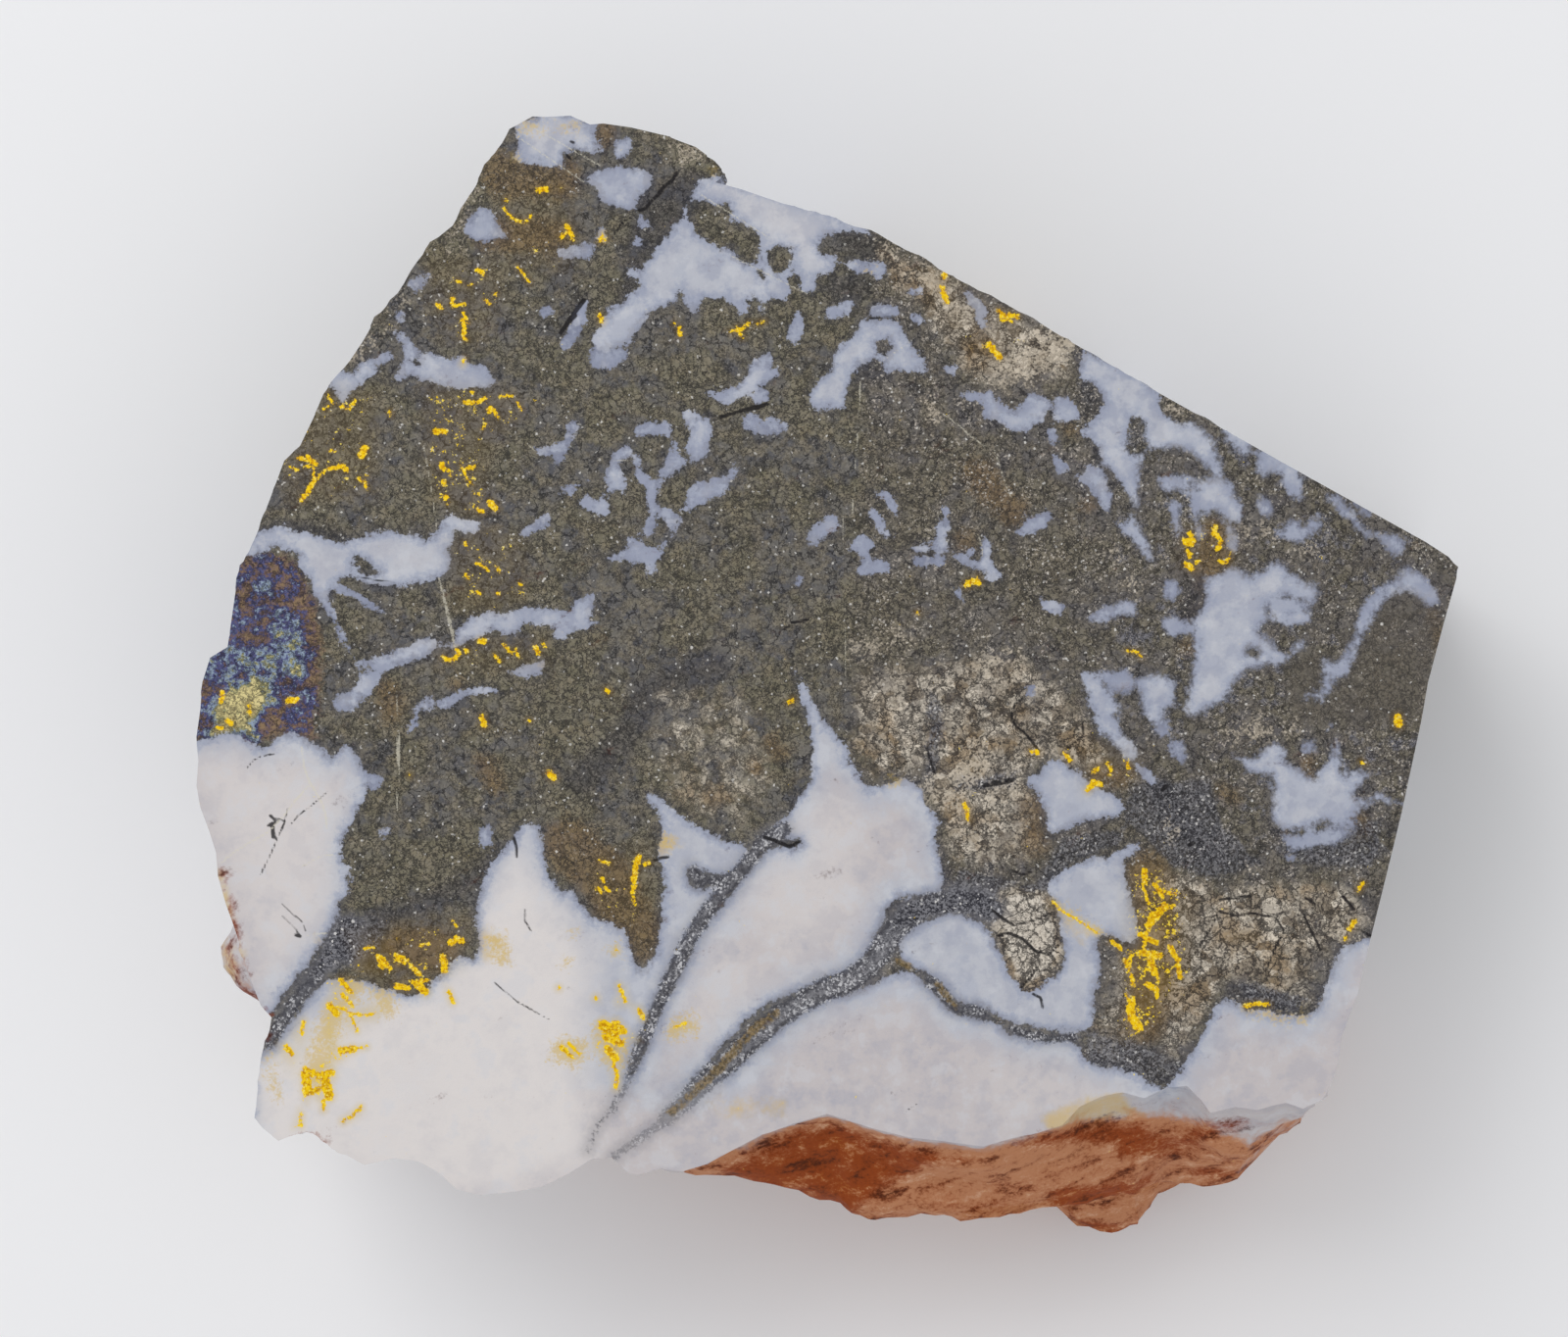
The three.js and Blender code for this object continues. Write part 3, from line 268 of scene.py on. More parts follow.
# Quartz outlines read from the right side of the face: name, whiteness, points.
PATCHES_RIGHT = [
    ("net east", 0.85, [
        (12.9, 15.3), (12.95, 16.75), (13.4, 16.6), (14.0, 16.3), (15.0, 15.9), (15.8, 15.5), (16.4, 15.1),
        (16.9, 14.5), (17.0, 13.7), (17.3, 13.4), (17.6, 13.0), (18.0, 12.9), (18.5, 13.0), (18.9, 12.8),
        (19.2, 12.5), (19.5, 12.1), (19.8, 11.6), (20.0, 11.1), (20.1, 10.5), (20.4, 10.0), (20.7, 9.6),
        (20.8, 9.2), (21.1, 8.9), (21.2, 8.4), (21.0, 7.9), (20.6, 7.8), (20.3, 8.0), (20.1, 8.3),
        (19.6, 8.4), (19.2, 8.2), (18.9, 8.4), (18.7, 8.9), (18.8, 9.5), (18.5, 9.9), (18.2, 9.4),
        (17.7, 9.5), (17.1, 9.4), (16.9, 10.1), (17.6, 10.3), (18.4, 10.1), (19.0, 10.1), (19.6, 10.2),
        (19.5, 10.6), (19.2, 10.9), (18.8, 11.2), (18.5, 11.5), (18.0, 11.6), (17.0, 11.7), (16.4, 11.6),
        (16.1, 11.2), (15.9, 10.5), (15.8, 9.6), (15.9, 8.9), (15.7, 8.3), (15.6, 7.9), (15.9, 7.5),
        (16.3, 7.1), (16.4, 6.6), (16.6, 6.0), (16.2, 6.0), (15.8, 6.9), (15.2, 7.3), (14.8, 7.8),
        (15.3, 7.9), (15.6, 8.5), (15.4, 9.2), (15.0, 9.8), (14.7, 10.3), (14.2, 10.9), (13.8, 11.2),
        (13.8, 11.7), (13.4, 12.1), (13.0, 12.4), (13.2, 12.9), (13.8, 13.3), (14.1, 13.8), (14.0, 14.4),
        (13.6, 14.9)]),
    ("edge strip one", 0.75, [
        (19.9, 13.1), (20.2, 12.5), (20.5, 12.1), (20.8, 11.7), (21.2, 11.4), (21.5, 11.5), (21.8, 11.9),
        (21.7, 12.2), (21.0, 12.7), (20.4, 13.1)]),
    ("edge strip two", 0.75, [
        (21.8, 11.5), (22.3, 11.7), (23.0, 11.5), (23.7, 11.1), (24.0, 10.7), (24.1, 10.1), (24.3, 9.7),
        (24.3, 9.2), (24.0, 9.0), (23.6, 9.2), (23.4, 9.6), (23.2, 10.1), (22.9, 10.4), (22.3, 10.2),
        (22.0, 10.4), (21.9, 10.9)]),
    ("net tail", 0.42, [
        (20.1, 7.9), (20.6, 7.8), (20.9, 7.4), (20.9, 6.6), (20.7, 6.3), (20.4, 6.7), (20.4, 7.3)]),
    ("net left tail", 0.4, [
        (18.6, 9.6), (19.1, 9.4), (19.2, 8.6), (19.0, 8.0), (19.2, 7.3), (18.9, 7.0), (18.8, 7.8),
        (18.6, 8.5)]),
    ("net far left", 0.3, [(17.5, 9.0), (18.0, 8.8), (18.0, 8.0), (17.9, 7.2), (17.6, 7.3), (17.5, 8.2)]),
    ("haze one", 0.42, [(22.0, 9.3), (22.4, 9.1), (22.8, 8.6), (22.6, 8.2), (22.1, 8.3), (21.9, 8.8)]),
    ("haze two", 0.5, [
        (22.8, 7.5), (23.2, 7.4), (23.7, 8.0), (24.3, 7.7), (25.0, 8.3), (25.3, 7.7), (24.9, 7.3),
        (24.2, 6.9), (23.5, 7.0), (23.0, 7.2)]),
    ("haze three", 0.48, [
        (25.6, 9.2), (26.1, 9.2), (26.5, 8.8), (26.9, 8.2), (27.2, 7.8), (27.7, 7.4), (28.3, 7.3),
        (29.1, 7.2), (29.4, 6.8), (29.3, 6.3), (28.8, 6.2), (28.4, 6.5), (28.1, 7.0), (27.6, 7.0),
        (27.1, 7.4), (26.7, 7.9), (26.2, 8.2), (25.8, 8.6)]),
    ("haze four", 0.4, [(26.9, 8.9), (27.3, 8.7), (27.8, 8.5), (27.6, 8.2), (27.1, 8.4)]),
    ("big right", 0.88, [
        (19.2, 5.0), (19.8, 5.1), (20.2, 5.4), (20.6, 5.6), (21.1, 5.5), (21.4, 5.2), (21.8, 5.1),
        (22.2, 5.3), (22.6, 5.6), (23.0, 5.8), (23.4, 5.6), (23.5, 5.2), (24.0, 5.0), (24.4, 4.8),
        (24.9, 4.7), (25.1, 4.2), (24.9, 3.8), (24.3, 3.8), (23.6, 4.1), (22.9, 4.0), (22.4, 3.6),
        (22.5, 3.2), (23.2, 3.2), (24.0, 3.4), (24.7, 3.2), (24.6, 2.8), (24.0, 2.6), (23.4, 2.7),
        (22.4, 2.8), (21.9, 2.4), (22.3, 2.0), (22.8, 1.7), (23.1, 1.2), (23.6, 1.1), (23.9, 1.6),
        (24.4, 1.8), (24.3, 1.3), (23.6, 0.9), (23.2, 0.7), (22.6, 0.7), (22.0, 0.5), (21.4, 0.3),
        (21.0, -0.1), (20.7, -0.5), (20.4, -1.0), (19.9, -1.4), (19.4, -1.7), (18.9, -1.9), (18.2, -1.9),
        (18.0, -1.6), (18.4, -1.2), (18.5, -0.7), (18.6, 0.0), (18.7, 0.7), (18.9, 1.2), (18.8, 1.7),
        (18.7, 2.3), (18.7, 2.8), (19.0, 3.4), (19.4, 3.9), (19.4, 4.4)]),
    ("big right shelf", 0.5, [
        (22.4, 3.9), (23.6, 4.0), (24.3, 3.8), (24.7, 3.6), (24.0, 3.2), (22.6, 3.0)]),
    ("left of big right", 0.36, [
        (17.0, 2.9), (17.8, 2.9), (18.6, 2.6), (18.6, 2.1), (17.8, 2.0), (17.2, 2.2)]),
    ("left of big right two", 0.32, [(17.2, 4.9), (17.8, 4.9), (18.0, 4.3), (17.6, 3.8), (17.2, 4.2)]),
    ("arch", 0.62, [
        (25.9, 0.6), (26.3, 1.2), (26.8, 1.8), (27.0, 2.3), (27.1, 3.1), (27.3, 3.6), (27.6, 4.1),
        (28.0, 4.5), (28.5, 4.7), (29.0, 5.0), (29.2, 5.4), (29.6, 5.6), (30.1, 5.5), (30.4, 5.2),
        (30.6, 4.8), (30.9, 4.6), (31.3, 4.2), (31.2, 3.7), (30.7, 3.6), (30.3, 3.9), (30.0, 4.1),
        (29.6, 4.3), (29.0, 4.3), (28.6, 4.1), (28.2, 3.6), (27.9, 3.1), (27.6, 2.6), (27.3, 2.1),
        (27.0, 1.4), (26.8, 0.8), (26.5, 0.2), (26.0, -0.2), (25.7, -0.8), (25.3, -1.2), (24.7, -1.1),
        (24.3, -1.15), (24.6, -0.9), (25.1, -0.7), (25.3, -0.2), (25.3, 0.4), (25.4, 0.9)]),
    ("under line speck", 0.4, [(25.3, -2.6), (25.6, -2.35), (25.9, -2.5), (25.6, -2.7)]),
    ("spray", 0.5, [(24.1, -3.7), (24.3, -3.3), (24.7, -3.2), (25.0, -3.4), (24.7, -3.7), (24.3, -3.9)]),
    ("split patch", 0.88, [
        (21.0, -4.3), (21.5, -4.2), (22.0, -4.0), (22.3, -3.7), (22.7, -3.5), (22.9, -3.3), (23.1, -3.5),
        (23.4, -3.8), (23.3, -4.2), (23.6, -4.5), (24.0, -4.6), (24.3, -5.0), (24.7, -5.3), (24.9, -5.3),
        (25.0, -4.9), (25.3, -4.7), (25.6, -4.2), (25.7, -3.8), (26.0, -3.2), (26.2, -3.9), (26.3, -4.4),
        (26.1, -4.8), (26.4, -5.0), (26.9, -4.8), (27.2, -4.7), (27.5, -5.2), (27.2, -5.6), (26.9, -6.0),
        (27.1, -6.3), (27.4, -6.4), (28.0, -6.0), (28.4, -6.0), (28.9, -6.3), (29.5, -6.5), (29.3, -6.6),
        (28.7, -6.5), (28.2, -6.3), (27.6, -6.6), (27.1, -6.9), (26.7, -7.1), (26.5, -7.6), (26.0, -7.7),
        (25.7, -7.5), (25.2, -7.5), (24.8, -7.7), (24.3, -7.9), (23.8, -7.9), (23.2, -7.9), (22.9, -7.7),
        (22.7, -7.3), (22.8, -6.6), (22.7, -6.0), (22.8, -5.5), (22.6, -5.1), (22.1, -5.0), (21.5, -4.8)]),
    ("split patch foot", 0.5, [
        (23.2, -8.0), (24.2, -8.1), (24.8, -7.9), (25.5, -7.8), (26.4, -7.6), (26.9, -7.3), (26.8, -8.0),
        (26.2, -8.4), (25.4, -8.6), (24.8, -8.7), (24.0, -8.8), (23.4, -8.7)]),
    ("split patch toe", 0.42, [(23.2, -9.0), (23.9, -9.0), (24.0, -9.5), (23.5, -9.6)]),
    ("lower right of arch", 0.4, [
        (17.3, -3.6), (17.7, -3.3), (18.1, -3.4), (18.4, -3.9), (18.2, -4.6), (17.9, -4.4), (17.6, -3.9)]),
    ("lower right haze", 0.4, [(17.0, -2.0), (17.4, -2.3), (17.4, -2.9), (17.0, -3.2), (16.6, -2.8)]),
    ("diagonal", 0.85, [
        (13.0, 0.2), (13.9, 0.1), (14.1, -0.5), (14.6, -1.0), (15.0, -1.5), (14.7, -2.0), (14.9, -2.6),
        (15.2, -3.1), (15.7, -3.3), (15.9, -4.0), (15.6, -4.3), (15.2, -4.1), (15.0, -3.8), (14.4, -3.2),
        (14.0, -3.0), (13.8, -2.4), (13.6, -1.9), (13.3, -1.2), (13.2, -0.6)]),
    ("diagonal top", 0.45, [
        (13.9, 0.2), (15.5, 0.3), (15.9, -0.3), (15.4, -0.9), (14.6, -0.9), (14.1, -0.4)]),
    ("diagonal right", 0.75, [
        (15.7, -0.1), (16.4, 0.1), (17.3, 0.2), (17.8, -0.4), (17.8, -1.2), (17.2, -1.8), (17.2, -2.4),
        (16.9, -2.9), (16.6, -2.4), (16.2, -1.9), (16.0, -1.4), (15.9, -0.8)]),
    ("diagonal foot", 0.4, [(15.7, -4.4), (16.3, -4.7), (16.9, -5.4), (16.5, -5.5), (15.9, -5.0)]),
    ("slope haze", 0.42, [(10.2, -0.4), (10.6, -0.5), (10.7, -1.1), (10.3, -1.2), (10.1, -0.8)]),
]

# Quartz outlines read from the lower half of the face: name, whiteness, points.
PATCHES_LOWER = [
    ("boot", 0.93, [
        (11.0, -4.5), (11.6, -4.2), (12.3, -4.6), (13.0, -4.9), (13.4, -5.4), (13.6, -5.7), (14.2, -5.8),
        (14.7, -6.1), (15.0, -6.4), (15.2, -6.8), (14.9, -7.2), (14.0, -7.3), (13.2, -7.4), (12.6, -7.6),
        (12.0, -7.9), (11.4, -8.0), (11.2, -7.6), (11.1, -7.0), (11.0, -6.5), (10.7, -6.0), (10.3, -5.7),
        (10.3, -5.2), (10.8, -4.9)]),
    ("knee", 0.93, [
        (11.4, -10.4), (11.6, -10.2), (12.3, -9.8), (12.9, -9.4), (13.4, -9.2), (14.0, -9.1), (14.4, -9.3),
        (14.7, -9.0), (15.2, -8.6), (15.7, -8.4), (15.9, -8.7), (15.6, -9.2), (15.1, -9.6), (15.2, -10.2),
        (15.4, -10.8), (15.6, -11.3), (15.7, -12.0), (15.8, -12.6), (15.9, -13.2), (15.7, -13.7),
        (15.0, -13.6), (14.4, -13.3), (13.9, -13.3), (13.7, -13.9), (13.9, -14.4), (14.0, -15.0),
        (13.8, -15.8), (13.6, -16.4), (13.7, -17.0), (13.5, -17.7), (13.1, -18.2), (12.2, -18.2),
        (11.4, -18.1), (10.6, -17.9), (9.8, -17.7), (9.0, -17.5), (8.3, -17.1), (7.6, -16.8), (7.0, -16.9),
        (6.4, -16.3), (5.9, -15.7), (5.1, -15.2), (4.4, -14.8), (3.7, -14.4), (3.6, -13.8), (3.8, -13.2),
        (4.6, -12.7), (5.5, -12.3), (6.4, -12.0), (7.2, -12.3), (7.9, -12.7), (8.4, -13.2), (8.7, -13.9),
        (9.0, -14.6), (9.4, -15.3), (9.9, -16.0), (10.3, -16.2), (11.0, -15.7), (11.6, -15.3),
        (12.0, -14.8), (12.1, -14.0), (11.9, -13.0), (11.8, -12.2), (11.6, -11.5), (11.3, -11.0)]),
    ("great lobe", 1.0, [
        (-1.6, 0.2), (-1.2, -0.1), (-1.0, -0.8), (-0.6, -1.5), (-0.3, -2.0), (0.1, -2.5), (0.5, -3.0),
        (1.0, -3.6), (1.1, -4.2), (1.4, -4.6), (1.8, -5.2), (2.1, -5.75), (2.6, -5.5), (3.3, -5.4),
        (4.0, -5.2), (4.5, -5.4), (4.9, -5.9), (5.0, -6.4), (5.5, -6.9), (5.8, -7.4), (5.5, -8.2),
        (5.7, -9.0), (5.9, -9.8), (6.0, -10.6), (5.7, -11.1), (5.0, -11.1), (4.3, -11.2), (3.6, -11.4),
        (3.0, -12.0), (2.8, -12.7), (2.4, -13.4), (2.0, -14.1), (1.6, -14.7), (0.9, -15.2), (0.0, -15.5),
        (-0.9, -15.8), (-2.0, -16.3), (-3.2, -16.9), (-4.2, -17.5), (-5.0, -18.5), (-6.0, -19.7),
        (-6.8, -20.6), (-7.8, -21.5), (-8.6, -22.2), (-9.6, -22.4), (-10.3, -21.4), (-9.8, -20.2),
        (-9.3, -19.0), (-8.8, -17.8), (-8.3, -16.6), (-7.7, -15.5), (-7.0, -14.3), (-6.6, -13.2),
        (-5.9, -12.3), (-5.1, -11.3), (-4.4, -10.3), (-3.7, -9.5), (-3.2, -8.9), (-2.6, -8.7), (-1.7, -8.8),
        (-1.4, -8.5), (-2.2, -8.2), (-2.8, -7.9), (-2.5, -7.5), (-2.1, -7.0), (-1.6, -6.4), (-1.2, -5.8),
        (-0.8, -5.2), (-0.8, -4.4), (-0.7, -3.6), (-0.9, -3.0), (-1.0, -2.3), (-1.2, -1.5), (-1.4, -0.8)]),
    ("wedge", 0.95, [
        (-9.1, -6.0), (-8.6, -6.1), (-8.1, -6.5), (-7.6, -7.0), (-7.2, -7.2), (-6.8, -7.6), (-6.2, -7.8),
        (-5.6, -8.1), (-5.0, -8.4), (-4.4, -8.5), (-4.0, -9.0), (-4.3, -9.7), (-4.7, -9.9), (-5.2, -10.2),
        (-6.0, -10.1), (-6.6, -9.8), (-7.1, -10.0), (-7.1, -10.6), (-6.6, -10.8), (-5.8, -10.7),
        (-5.4, -10.9), (-5.8, -11.5), (-6.4, -12.3), (-6.9, -13.0), (-7.3, -13.8), (-7.8, -14.8),
        (-8.3, -15.6), (-8.7, -16.5), (-9.2, -17.6), (-9.5, -18.6), (-9.9, -19.6), (-10.3, -20.7),
        (-10.8, -21.6), (-11.5, -22.4), (-12.0, -23.2), (-12.3, -24.0), (-13.0, -26.0), (-28.0, -26.0),
        (-29.5, -24.0), (-29.6, -19.5), (-28.4, -18.9), (-27.5, -17.8), (-26.8, -16.8), (-26.0, -15.8),
        (-25.0, -15.4), (-23.5, -15.5), (-22.5, -15.9), (-21.5, -16.2), (-20.5, -16.1), (-20.2, -15.4),
        (-19.6, -15.1), (-19.2, -14.6), (-18.7, -14.3), (-18.0, -14.3), (-17.8, -13.7), (-17.9, -13.0),
        (-18.0, -12.2), (-17.8, -11.3), (-17.6, -10.5), (-17.3, -9.8), (-16.9, -9.2), (-16.4, -8.6),
        (-16.0, -8.3), (-15.8, -7.8), (-15.5, -7.55), (-15.0, -7.45), (-14.6, -7.6), (-14.5, -8.4),
        (-14.4, -9.2), (-14.3, -10.0), (-13.9, -10.5), (-13.5, -11.0), (-13.0, -10.9), (-12.6, -11.5),
        (-12.2, -12.0), (-11.9, -12.4), (-11.3, -12.5), (-10.7, -12.8), (-10.2, -13.0), (-10.1, -13.6),
        (-9.9, -14.3), (-9.6, -14.9), (-9.2, -14.9), (-8.8, -14.2), (-8.6, -13.4), (-8.5, -12.5),
        (-8.4, -11.5), (-8.4, -10.5), (-8.4, -9.6), (-8.6, -9.2), (-8.5, -8.2), (-8.4, -7.6), (-8.8, -6.9),
        (-9.1, -6.4)]),
    ("base", 1.0, [
        (-31.0, -23.0), (-25.0, -21.5), (-18.0, -19.0), (-12.5, -19.5), (-10.6, -20.2), (-9.2, -20.6),
        (-7.6, -20.6), (-5.4, -20.2), (-2.0, -22.0), (-2.0, -31.0), (-31.0, -31.0)]),
    ("foot", 1.0, [
        (-11.0, -24.6), (-10.2, -24.0), (-9.3, -23.6), (-8.4, -23.4), (-7.5, -22.8), (-6.8, -22.0),
        (-6.0, -21.2), (-5.0, -20.3), (-4.0, -19.4), (-3.0, -18.4), (-2.0, -17.5), (-1.0, -16.8),
        (0.0, -16.4), (1.0, -16.2), (2.0, -15.8), (2.9, -15.3), (3.8, -15.0), (4.6, -15.3), (5.3, -15.9),
        (6.0, -16.7), (6.8, -17.2), (7.6, -17.4), (8.4, -17.6), (9.3, -18.1), (10.2, -18.5), (11.2, -18.55),
        (12.2, -18.5), (12.9, -18.9), (13.2, -19.6), (14.0, -19.9), (15.0, -20.0), (15.8, -20.4),
        (16.6, -20.8), (17.2, -20.9), (17.9, -20.4), (18.3, -19.6), (18.9, -18.7), (19.3, -17.8),
        (19.8, -16.9), (20.2, -16.3), (20.8, -16.6), (21.4, -17.0), (22.3, -17.0), (23.0, -17.3),
        (23.8, -17.3), (24.5, -17.2), (25.0, -16.8), (25.2, -16.0), (25.6, -15.3), (25.8, -14.6),
        (26.3, -13.8), (27.2, -13.5), (28.5, -13.0), (29.0, -16.0), (28.0, -22.0), (24.0, -27.0),
        (0.0, -28.0), (-12.0, -28.0)]),
    ("left block", 1.0, [
        (-33.5, -3.3), (-32.1, -3.3), (-31.3, -3.1), (-30.5, -2.9), (-29.8, -3.0), (-29.4, -3.3),
        (-28.9, -3.6), (-28.4, -3.4), (-27.9, -2.9), (-27.3, -2.9), (-26.8, -3.1), (-26.2, -3.4),
        (-25.8, -3.6), (-25.5, -4.0), (-25.2, -4.15), (-25.0, -3.9), (-24.9, -3.6), (-24.6, -3.4),
        (-24.2, -3.6), (-24.0, -4.0), (-23.8, -4.4), (-23.6, -4.9), (-23.5, -5.4), (-23.5, -6.0),
        (-23.8, -6.6), (-24.1, -7.2), (-24.5, -7.9), (-24.7, -8.5), (-24.8, -9.0), (-24.6, -9.7),
        (-24.5, -10.3), (-24.5, -11.0), (-24.8, -11.6), (-25.0, -12.2), (-25.3, -12.8), (-25.6, -13.4),
        (-26.0, -14.1), (-26.6, -14.8), (-27.3, -15.6), (-28.0, -16.6), (-28.5, -17.4), (-29.0, -18.3),
        (-31.0, -19.0), (-34.0, -12.0), (-34.0, -6.0)]),
    ("block side", 0.45, [(-23.5, -5.0), (-23.1, -4.95), (-22.6, -5.3), (-22.9, -5.8), (-23.4, -5.9)]),
    ("block notch", 0.4, [(-24.6, -9.6), (-24.2, -9.9), (-24.1, -10.4), (-24.4, -10.5)]),
    ("left band foot", 0.65, [
        (-22.9, 0.3), (-22.7, 0.1), (-23.2, -0.8), (-23.7, -1.3), (-24.1, -1.7), (-24.7, -1.8),
        (-25.1, -1.6), (-25.2, -1.2), (-24.9, -0.9), (-24.3, -0.7), (-23.9, -0.4), (-23.9, 0.3)]),
    ("streak left", 0.75, [
        (-21.1, -1.7), (-20.8, -1.3), (-20.3, -1.0), (-20.1, -1.1), (-20.1, -1.7), (-20.6, -1.8)]),
    ("streak right", 0.7, [
        (-19.9, -1.7), (-19.8, -1.15), (-19.3, -1.0), (-18.8, -0.7), (-18.2, -0.6), (-17.5, -0.5),
        (-17.0, -0.6), (-16.7, -0.8), (-17.4, -0.9), (-18.1, -0.9), (-18.7, -1.2), (-19.2, -1.6)]),
    ("dark spot", 0.28, [(-21.3, -2.3), (-20.9, -2.0), (-20.8, -2.6), (-21.3, -2.9)]),
    ("ground spot one", 0.3, [(-22.9, -7.9), (-22.4, -7.7), (-22.3, -8.1), (-22.8, -8.3)]),
    ("ground spot two", 0.45, [(-17.9, -7.9), (-17.3, -7.4), (-17.0, -7.8), (-17.1, -8.5), (-17.6, -8.9)]),
]

# Islands of ore inside the quartz.
ISLANDS = [
    [
        (-6.95, 23.0), (-6.6, 22.6), (-6.1, 22.05), (-5.5, 21.85), (-4.9, 21.8), (-4.5, 21.4),
        (-4.1, 21.05), (-3.6, 21.1), (-3.35, 21.6), (-3.4, 22.3), (-3.7, 22.7), (-4.2, 22.95), (-4.9, 23.2),
        (-4.85, 23.7), (-5.1, 24.0), (-5.6, 24.0), (-6.1, 24.3), (-6.8, 24.25), (-7.1, 23.9), (-7.1, 23.4)],
    [(-3.0, 21.7), (-2.4, 22.0), (-1.8, 21.7), (-1.7, 21.2), (-2.0, 20.7), (-2.6, 20.6), (-3.05, 21.0)],
    [(-7.7, 19.6), (-7.4, 19.75), (-7.2, 19.4), (-7.6, 19.2)],
    [(-3.5, 20.65), (-3.2, 20.6), (-3.2, 20.3), (-3.5, 20.35)],
    [(2.5, 17.1), (3.1, 17.2), (3.3, 16.8), (3.0, 16.4), (2.6, 16.5)],
    [(-21.2, 16.1), (-20.8, 16.2), (-20.7, 15.95), (-21.1, 15.85)],
    [
        (-24.2, 6.15), (-23.7, 6.05), (-23.4, 5.7), (-22.8, 5.4), (-22.8, 5.15), (-23.4, 5.1), (-23.8, 5.3),
        (-24.1, 5.7)],
    [
        (15.6, 13.2), (16.0, 13.2), (16.3, 12.8), (16.2, 12.2), (16.3, 11.7), (16.0, 11.2), (15.6, 11.3),
        (15.2, 11.6), (15.4, 12.2), (15.4, 12.8)],
    [
        (14.6, 9.8), (14.9, 9.6), (15.3, 9.3), (15.6, 8.8), (15.5, 8.2), (15.1, 7.9), (14.7, 8.1),
        (14.5, 8.6), (14.5, 9.2)],
    [(21.4, 1.4), (21.8, 1.5), (22.0, 1.2), (21.7, 1.0), (21.4, 1.1)],
]

